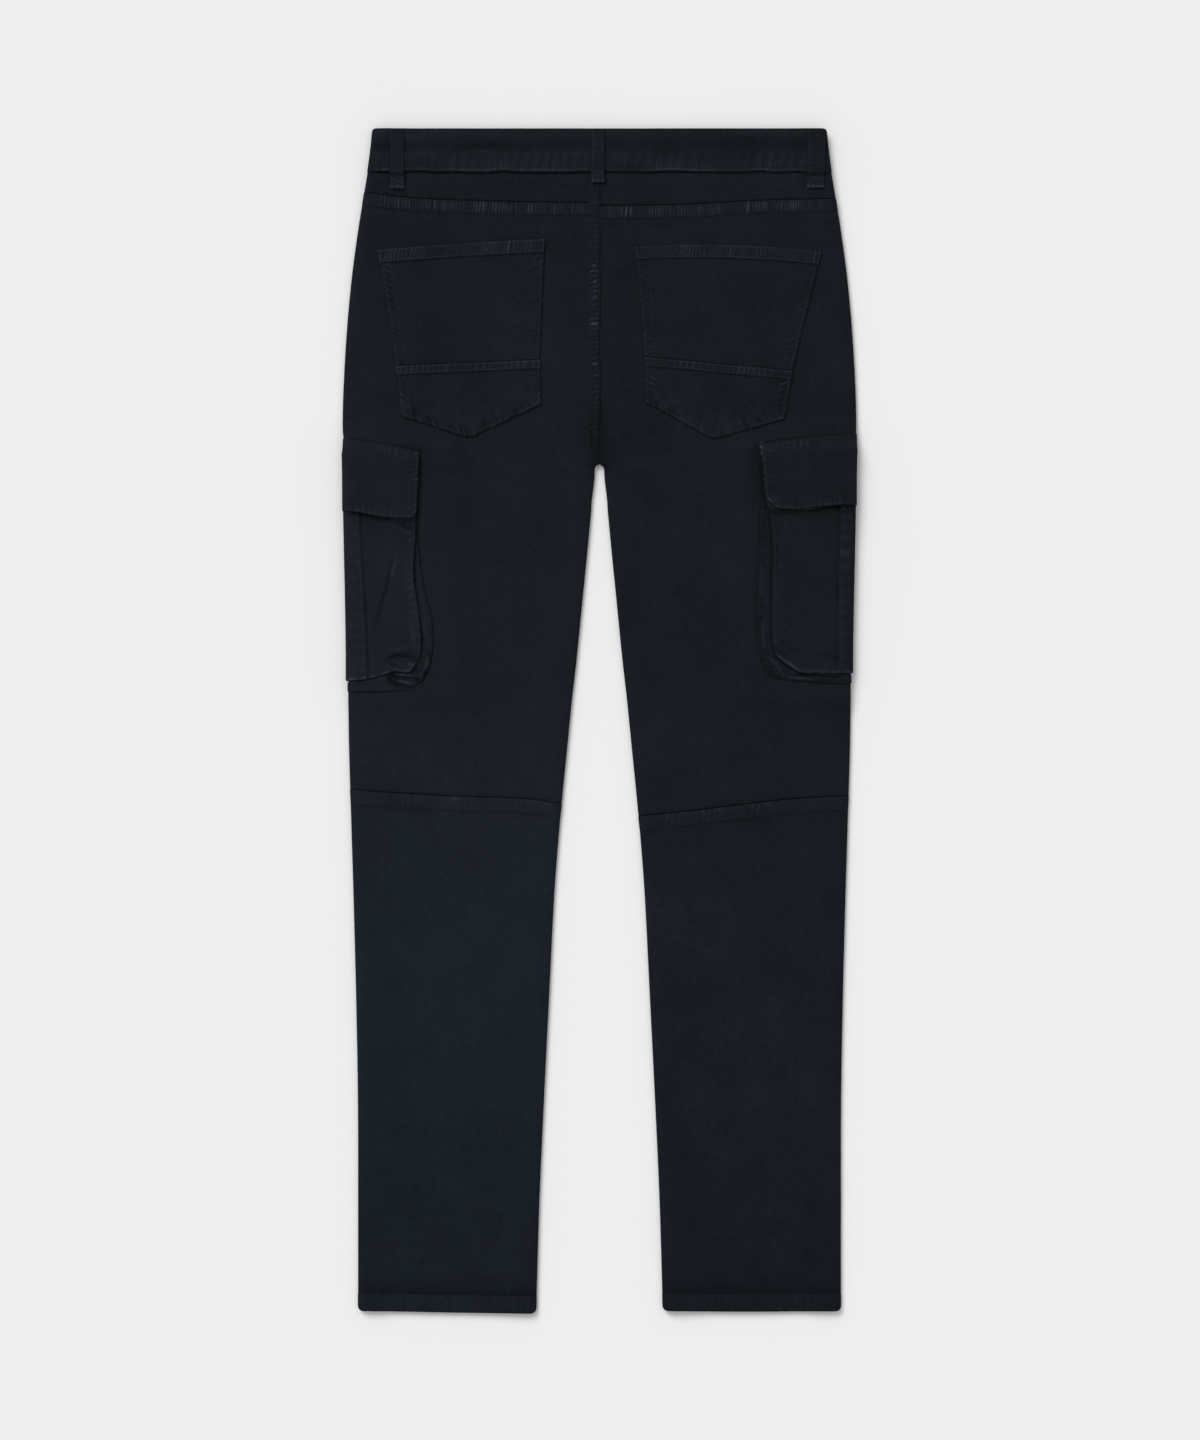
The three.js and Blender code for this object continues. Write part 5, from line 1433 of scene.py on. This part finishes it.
def stitch_rows():
    """Every group of stitches, and the rows in it."""
    groups = {"stitches_waistband": [], "stitches_yoke": [], "stitches_seat": [], "stitches_knees": []}
    groups |= {"stitches_hems": [], "stitches_back_pockets": [], "stitches_cargo_pockets": [], "stitches_loops": []}
    groups["stitches_cargo_inner"] = []
    half = float(outer_at(WAIST_TOP - BAND_DEEP / 2)) - 3
    groups["stitches_waistband"].append(row("back_waistband", -half, WAIST_ROW, half, WAIST_ROW))
    for side in SIDES:
        tag = side_name(side)
        for near in (STITCH_IN, YOKE_FELL - STITCH_IN):
            groups["stitches_yoke"].append(row(f"yoke_seam_{tag}", 0.02, near / YOKE_FELL, 0.995, near / YOKE_FELL))
        for near in (STITCH_IN, KNEE_FELL - STITCH_IN):
            groups["stitches_knees"].append(row(f"knee_seam_{tag}", 0.02, near / KNEE_FELL, 0.98, near / KNEE_FELL))
        groups["stitches_hems"].append(row(f"hem_back_{tag}", 0.02, 0.1, 0.98, 0.1))
        pocket = groups["stitches_back_pockets"]
        for on, rows in ((f"pocket_upper_{tag}", (0, 1)), (f"pocket_lower_{tag}", (0, 1))):
            for inset in POCKET_ROWS:
                pocket.append(row(on, inset, *(rows[:1]), inset, rows[1]))
                pocket.append(row(on, 1 - inset, rows[0], 1 - inset, rows[1]))
        pocket.append(row(f"pocket_lower_{tag}", 0.02, 0.955, 0.98, 0.955))
        pocket.append(row(f"pocket_hem_{tag}", 0.01, 0.87, 0.99, 0.87))
        pocket.append(row(f"pocket_seam_{tag}", 0.01, 0.2, 0.99, 0.2))
        pocket.append(row(f"pocket_seam_{tag}", 0.01, 0.82, 0.99, 0.82))
        cargo = groups["stitches_cargo_pockets"]
        bag = CARGO[side]
        top, low = (p - PLEAT_ROW for p in bag["pleat_line"])
        cargo.append((f"bag_{tag}", lambda t, top=top, low=low: (mix(low, top, t), mix(0.03, 0.97, t))))
        inner = groups["stitches_cargo_inner"]
        cargo.append(row(f"flap_{tag}", 0.75, 0.035, 1.96, 0.035))
        inner.append(row(f"flap_{tag}", 0.75, 0.14, 1.87, 0.14))
        cargo.append(row(f"flap_{tag}", 1.965, 0.03, 1.965, 0.97))
        inner.append(row(f"flap_{tag}", 0.75, 0.965, 1.96, 0.965))
        length = float(np.sum(np.hypot(*np.diff(np.array(bag["gusset"])[:, :2], axis=0).T)))
        inner.append(row(f"gusset_{tag}", 0.82, 2, 0.82, 0.62 * length))
    long = WAIST_SEAM - 258
    for near in (STITCH_IN, SEAT_FELL - STITCH_IN):
        groups["stitches_seat"].append(row("seat_seam_centre", near, 1, near, long - 20))
    for node, _, face, end, _, wide in LOOPS:
        if face == FRONT:
            continue
        on, deep = node.replace("loop", "belt_loop"), WAIST_TOP - 0.6 - end
        for near in (2.4, wide - 2.4):
            groups["stitches_loops"].append(row(on, near, 1.5, near, deep - 1.5))
        for down in (2.2, 3.4, deep - 3.2, deep - 2):
            groups["stitches_loops"].append(row(on, 1.5, down, wide - 1.5, down))
    return groups


def nodes_of(name, base, roughness, specular):
    """A new material, with its shader and the surface's own coordinates."""
    material = bpy.data.materials.new(name)
    material.use_nodes = True
    tree = material.node_tree
    shader = tree.nodes["Principled BSDF"]
    shader.inputs["Base Color"].default_value = (*base, 1)
    shader.inputs["Roughness"].default_value = roughness
    shader.inputs["Specular IOR Level"].default_value = specular
    where = tree.nodes.new("ShaderNodeTexCoord").outputs["Object"]
    return material, tree, shader, where


def pattern(tree, kind, where, scale, **settings):
    """A pattern node on those coordinates."""
    node = tree.nodes.new(kind)
    node.inputs["Scale"].default_value = scale
    tree.links.new(where, node.inputs["Vector"])
    for name, value in settings.items():
        if name in node.inputs:
            node.inputs[name].default_value = value
        else:
            setattr(node, name, value)
    return node


def blend(tree, share, a, b):
    """A colour between two, by a share; a and b are colours or sockets."""
    node = tree.nodes.new("ShaderNodeMix")
    node.data_type = "RGBA"
    tree.links.new(share, node.inputs["Factor"])
    for socket, value in ((node.inputs["A"], a), (node.inputs["B"], b)):
        if isinstance(value, tuple):
            socket.default_value = (*value, 1)
        else:
            tree.links.new(value, socket)
    return node.outputs["Result"]


def calculate(tree, operation, a, b, clamp=False):
    node = tree.nodes.new("ShaderNodeMath")
    node.operation = operation
    node.use_clamp = clamp
    for socket, value in zip(node.inputs, (a, b)):
        if isinstance(value, (int, float)):
            socket.default_value = value
        else:
            tree.links.new(value, socket)
    return node.outputs["Value"]


def dyed_twill():
    """Dark dyed cotton twill: fine diagonal wales, mottled dye, paler where it is worn and where highlights are
    painted, and a painted shade colour where the wear attribute falls below zero.
    """
    name = "dyed_twill"
    if name in bpy.data.materials:
        return bpy.data.materials[name]
    ink = colours()
    material, tree, shader, where = nodes_of(name, ink.twill, 0.9, 0.06)
    slant = tree.nodes.new("ShaderNodeMapping")
    slant.inputs["Rotation"].default_value = (0, 0, math.radians(-58))
    tree.links.new(where, slant.inputs["Vector"])
    wale = pattern(
        tree, "ShaderNodeTexWave", slant.outputs["Vector"], 0.314 / (0.85 * MM), Distortion=1.2, **{"Detail": 1.0}
    )
    wale.inputs["Detail Scale"].default_value = 1.5
    grain = pattern(tree, "ShaderNodeTexNoise", where, 1 / (1.6 * MM), Detail=3.0, Roughness=0.65)
    mottle = pattern(tree, "ShaderNodeTexNoise", where, 1 / (5 * MM), Detail=3.0, Roughness=0.6)
    cloud = pattern(tree, "ShaderNodeTexNoise", where, 1 / (34 * MM), Detail=3.0, Roughness=0.55)
    wear_and_shading = tree.nodes.new("ShaderNodeAttribute")
    wear_and_shading.attribute_name = "wear_and_shading"
    share = calculate(tree, "MULTIPLY_ADD", grain.outputs["Fac"], 0.28)
    share.node.inputs[2].default_value = -0.14
    for source, strength in ((mottle, 0.34), (cloud, 0.2)):
        part = calculate(tree, "MULTIPLY_ADD", source.outputs["Fac"], strength)
        part.node.inputs[2].default_value = -strength / 2
        share = calculate(tree, "ADD", share, part)
    share = calculate(tree, "ADD", share, wear_and_shading.outputs["Fac"])
    # Up to one half the share blends from the twill to the faded colour; above it, towards the pale colour for wear and
    # painted highlight.
    some = calculate(tree, "MULTIPLY", share, 2.0, clamp=True)
    more = calculate(tree, "MULTIPLY_ADD", share, 2.0, clamp=True)
    more.node.inputs[2].default_value = -1.0
    faded = blend(tree, some, tuple(ink.twill), tuple(ink.faded))
    cool = tree.nodes.new("ShaderNodeAttribute")
    cool.attribute_name = "cool"
    tinted = blend(tree, cool.outputs["Fac"], blend(tree, more, faded, tuple(ink.worn_and_painted_light)), tuple(ink.cast))
    tinted.node.blend_type = "MULTIPLY"
    # Below zero the wear attribute blends towards a painted shade colour, under half as bright as the twill.
    shade_strength = tree.nodes.new("ShaderNodeMapRange")
    shade_strength.inputs["From Min"].default_value = -0.4
    shade_strength.inputs["From Max"].default_value = 0.0
    tree.links.new(wear_and_shading.outputs["Fac"], shade_strength.inputs["Value"])
    painted_shade = tuple(0.45 * c for c in ink.twill)
    tree.links.new(blend(tree, shade_strength.outputs["Result"], painted_shade, tinted), shader.inputs["Base Color"])
    rough = tree.nodes.new("ShaderNodeMapRange")
    rough.inputs["To Min"].default_value = 0.82
    rough.inputs["To Max"].default_value = 0.97
    tree.links.new(mottle.outputs["Fac"], rough.inputs["Value"])
    tree.links.new(rough.outputs["Result"], shader.inputs["Roughness"])
    weave = calculate(tree, "MULTIPLY_ADD", wale.outputs["Fac"], 0.6)
    tree.links.new(grain.outputs["Fac"], weave.node.inputs[2])
    bump = tree.nodes.new("ShaderNodeBump")
    bump.inputs["Strength"].default_value = 0.5
    bump.inputs["Distance"].default_value = 0.25 * MM
    tree.links.new(weave, bump.inputs["Height"])
    tree.links.new(bump.outputs["Normal"], shader.inputs["Normal"])
    shader.inputs["Sheen Weight"].default_value = 0.03
    shader.inputs["Sheen Roughness"].default_value = 0.6
    shader.inputs["Sheen Tint"].default_value = (0.6, 0.72, 0.9, 1)
    return material


def sewing_thread(tone):
    """Dyed sewing thread, twisted: pale on the pockets, partly as a painted highlight of the lit puckers between
    stitches, or as dark as the twill.
    """
    name = f"sewing_thread_{tone}"
    if name in bpy.data.materials:
        return bpy.data.materials[name]
    pale = tuple((0.42 if tone == "dark" else 1.0) * c for c in colours().thread)
    material, tree, shader, where = nodes_of(name, pale, 0.7, 0.15)
    twist = pattern(tree, "ShaderNodeTexNoise", where, 1 / (0.7 * MM), Detail=2.0)
    dark = tuple(0.55 * c for c in pale)
    tree.links.new(blend(tree, twist.outputs["Fac"], dark, pale), shader.inputs["Base Color"])
    bump = tree.nodes.new("ShaderNodeBump")
    bump.inputs["Strength"].default_value = 0.4
    bump.inputs["Distance"].default_value = 0.1 * MM
    tree.links.new(twist.outputs["Fac"], bump.inputs["Height"])
    tree.links.new(bump.outputs["Normal"], shader.inputs["Normal"])
    return material


def button_metal():
    """Brushed, darkened brass."""
    material, tree, shader, where = nodes_of("darkened_brass", colours().button, 0.4, 0.5)
    shader.inputs["Metallic"].default_value = 1.0
    tarnish = pattern(tree, "ShaderNodeTexNoise", where, 1 / (2.5 * MM), Detail=4.0, Roughness=0.6)
    bright = tuple(min(1, 1.7 * c) for c in colours().button)
    tone = blend(tree, tarnish.outputs["Fac"], tuple(colours().button), bright)
    tree.links.new(tone, shader.inputs["Base Color"])
    rough = tree.nodes.new("ShaderNodeMapRange")
    rough.inputs["To Min"].default_value = 0.3
    rough.inputs["To Max"].default_value = 0.6
    tree.links.new(tarnish.outputs["Fac"], rough.inputs["Value"])
    tree.links.new(rough.outputs["Result"], shader.inputs["Roughness"])
    return material


def floor_paint():
    """A pale matt surface with a barely uneven tone."""
    material, tree, shader, where = nodes_of("pale_floor", colours().floor, 0.95, 0.1)
    soft = pattern(tree, "ShaderNodeTexNoise", where, 2.5, Detail=2.0)
    paler = tuple(min(1, 1.01 * c) for c in colours().floor)
    tree.links.new(blend(tree, soft.outputs["Fac"], tuple(colours().floor), paler), shader.inputs["Base Color"])
    return material


def make_stage():
    """The pale floor, the soft light and the camera straight above."""
    bm = bmesh.new()
    bmesh.ops.create_grid(bm, x_segments=8, y_segments=8, size=30)
    bmesh.ops.translate(bm, verts=bm.verts, vec=(0, 0, -0.3 * MM))
    mesh = bpy.data.meshes.new("floor")
    bm.to_mesh(mesh)
    bm.free()
    mesh.materials.append(floor_paint())
    floor = bpy.data.objects.new("floor", mesh)
    bpy.context.collection.objects.link(floor)
    world = bpy.data.worlds.new("studio")
    world.use_nodes = True
    sky = world.node_tree.nodes["Background"]
    sky.inputs["Color"].default_value = (1, 1, 1, 1)
    sky.inputs["Strength"].default_value = 0.61
    bpy.context.scene.world = world
    for name, place, spread, strength in LIGHTS:
        light = bpy.data.lights.new(name, "SUN")
        light.angle = math.radians(spread)
        light.energy = strength
        lamp = bpy.data.objects.new(name, light)
        lamp.location = place
        lamp.rotation_euler = (-Vector(place)).to_track_quat("-Z", "Y").to_euler()
        bpy.context.collection.objects.link(lamp)
    camera = bpy.data.cameras.new("camera")
    camera.lens = sizes().camera_lens
    camera.sensor_width = 36
    eye = bpy.data.objects.new("camera", camera)
    eye.location = (0.5 * MM, 0.9 * MM, 3.166)
    bpy.context.collection.objects.link(eye)
    bpy.context.scene.camera = eye
    bpy.context.scene.view_settings.view_transform = "Standard"


# Soft, even lights: from where each shines, how far it spreads in degrees, and its strength
LIGHTS = (("key", (-1.1, 1.7, 1.45), 34, 2.25),)


def declare_cuts():
    """Hides the imported node that each cloth piece stands for, once the piece is made."""
    for name, node, wide, long, share, under, extra in CUTS:
        piece = bpy.data.objects.get(name)
        if piece is None:
            raise RuntimeError(f"{name} has to be made before its cut is declared")
        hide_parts(node)


class TROUSERS_OT_panels(bpy.types.Operator):
    """Lays the panels of both legs"""

    bl_idname = "trousers.panels"
    bl_label = "Leg panels"

    def execute(self, context):
        make_panels()
        return {"FINISHED"}


class TROUSERS_OT_bands(bpy.types.Operator):
    """Lays the felled seams and the hems on the panels"""

    bl_idname = "trousers.bands"
    bl_label = "Felled seams and hems"

    def execute(self, context):
        make_bands()
        return {"FINISHED"}


class TROUSERS_OT_waistband(bpy.types.Operator):
    """Lays the waistband, back and front"""

    bl_idname = "trousers.waistband"
    bl_label = "Waistband"

    def execute(self, context):
        make_waistband("back_waistband", BACK, SIDES)
        make_waistband("front_waistband_left", FRONT, (LEFT,))
        make_waistband("front_waistband_right", FRONT, (RIGHT,))
        return {"FINISHED"}


class TROUSERS_OT_loops(bpy.types.Operator):
    """Lays the belt loops"""

    bl_idname = "trousers.loops"
    bl_label = "Belt loops"

    def execute(self, context):
        for node, x, face, end, over_seam, wide in LOOPS:
            make_loop(node.replace("loop", "belt_loop"), x, face, end, over_seam, wide)
        return {"FINISHED"}


class TROUSERS_OT_fly(bpy.types.Operator):
    """Lays the fly underneath"""

    bl_idname = "trousers.fly"
    bl_label = "Fly"

    def execute(self, context):
        make_fly()
        return {"FINISHED"}


class TROUSERS_OT_back_pockets(bpy.types.Operator):
    """Lays the two back pockets"""

    bl_idname = "trousers.back_pockets"
    bl_label = "Back pockets"

    def execute(self, context):
        for side in SIDES:
            make_back_pocket(side)
        return {"FINISHED"}


class TROUSERS_OT_cargo_pockets(bpy.types.Operator):
    """Lays the bag, gusset and flap of each cargo pocket"""

    bl_idname = "trousers.cargo_pockets"
    bl_label = "Cargo pockets"

    def execute(self, context):
        for side in SIDES:
            make_bag(side)
            make_gusset(side)
            make_flap(side)
        return {"FINISHED"}


class TROUSERS_OT_button(bpy.types.Operator):
    """Makes the waist button"""

    bl_idname = "trousers.button"
    bl_label = "Waist button"

    def execute(self, context):
        make_button()
        return {"FINISHED"}


class TROUSERS_OT_stitches(bpy.types.Operator):
    """Sews the rows of stitches on the pieces"""

    bl_idname = "trousers.stitches"
    bl_label = "Stitches"

    def execute(self, context):
        for name, rows in stitch_rows().items():
            sew(name, rows, "dark" if name in DARK_ROWS else "light")
        return {"FINISHED"}


class TROUSERS_OT_cuts(bpy.types.Operator):
    """Hides the imported node of each piece of cloth"""

    bl_idname = "trousers.cuts"
    bl_label = "Flat sizes"

    def execute(self, context):
        declare_cuts()
        return {"FINISHED"}


class TROUSERS_OT_stage(bpy.types.Operator):
    """Sets the floor, the light and the camera"""

    bl_idname = "trousers.stage"
    bl_label = "Floor, light and camera"

    def execute(self, context):
        make_stage()
        return {"FINISHED"}


OPERATORS = (
    TROUSERS_OT_panels,
    TROUSERS_OT_bands,
    TROUSERS_OT_waistband,
    TROUSERS_OT_loops,
    TROUSERS_OT_fly,
    TROUSERS_OT_back_pockets,
    TROUSERS_OT_cargo_pockets,
    TROUSERS_OT_button,
    TROUSERS_OT_stitches,
    TROUSERS_OT_cuts,
    TROUSERS_OT_stage,
)


class TROUSERS_PT_panel(bpy.types.Panel):
    """The sizes and finishes of the trousers, and what makes each piece"""

    bl_idname = "TROUSERS_PT_panel"
    bl_label = "Cargo trousers"
    bl_space_type = "VIEW_3D"
    bl_region_type = "UI"
    bl_category = "Trousers"

    def draw(self, context):
        for group in (context.scene.trousers_sizes, context.scene.trousers_colours):
            box = self.layout.box()
            for name in group.__annotations__:
                box.prop(group, name)
        for operator in OPERATORS:
            self.layout.operator(operator.bl_idname)


CLASSES = (TrousersSizes, TrousersColours, *OPERATORS, TROUSERS_PT_panel)


def register():
    for cls in CLASSES:
        bpy.utils.register_class(cls)
    bpy.types.Scene.trousers_sizes = PointerProperty(type=TrousersSizes)
    bpy.types.Scene.trousers_colours = PointerProperty(type=TrousersColours)


def unregister():
    del bpy.types.Scene.trousers_colours
    del bpy.types.Scene.trousers_sizes
    for cls in reversed(CLASSES):
        bpy.utils.unregister_class(cls)


def main():
    register()
    for operator in OPERATORS:
        group, action = operator.bl_idname.split(".")
        getattr(getattr(bpy.ops, group), action)()


if __name__ == "__main__":
    main()
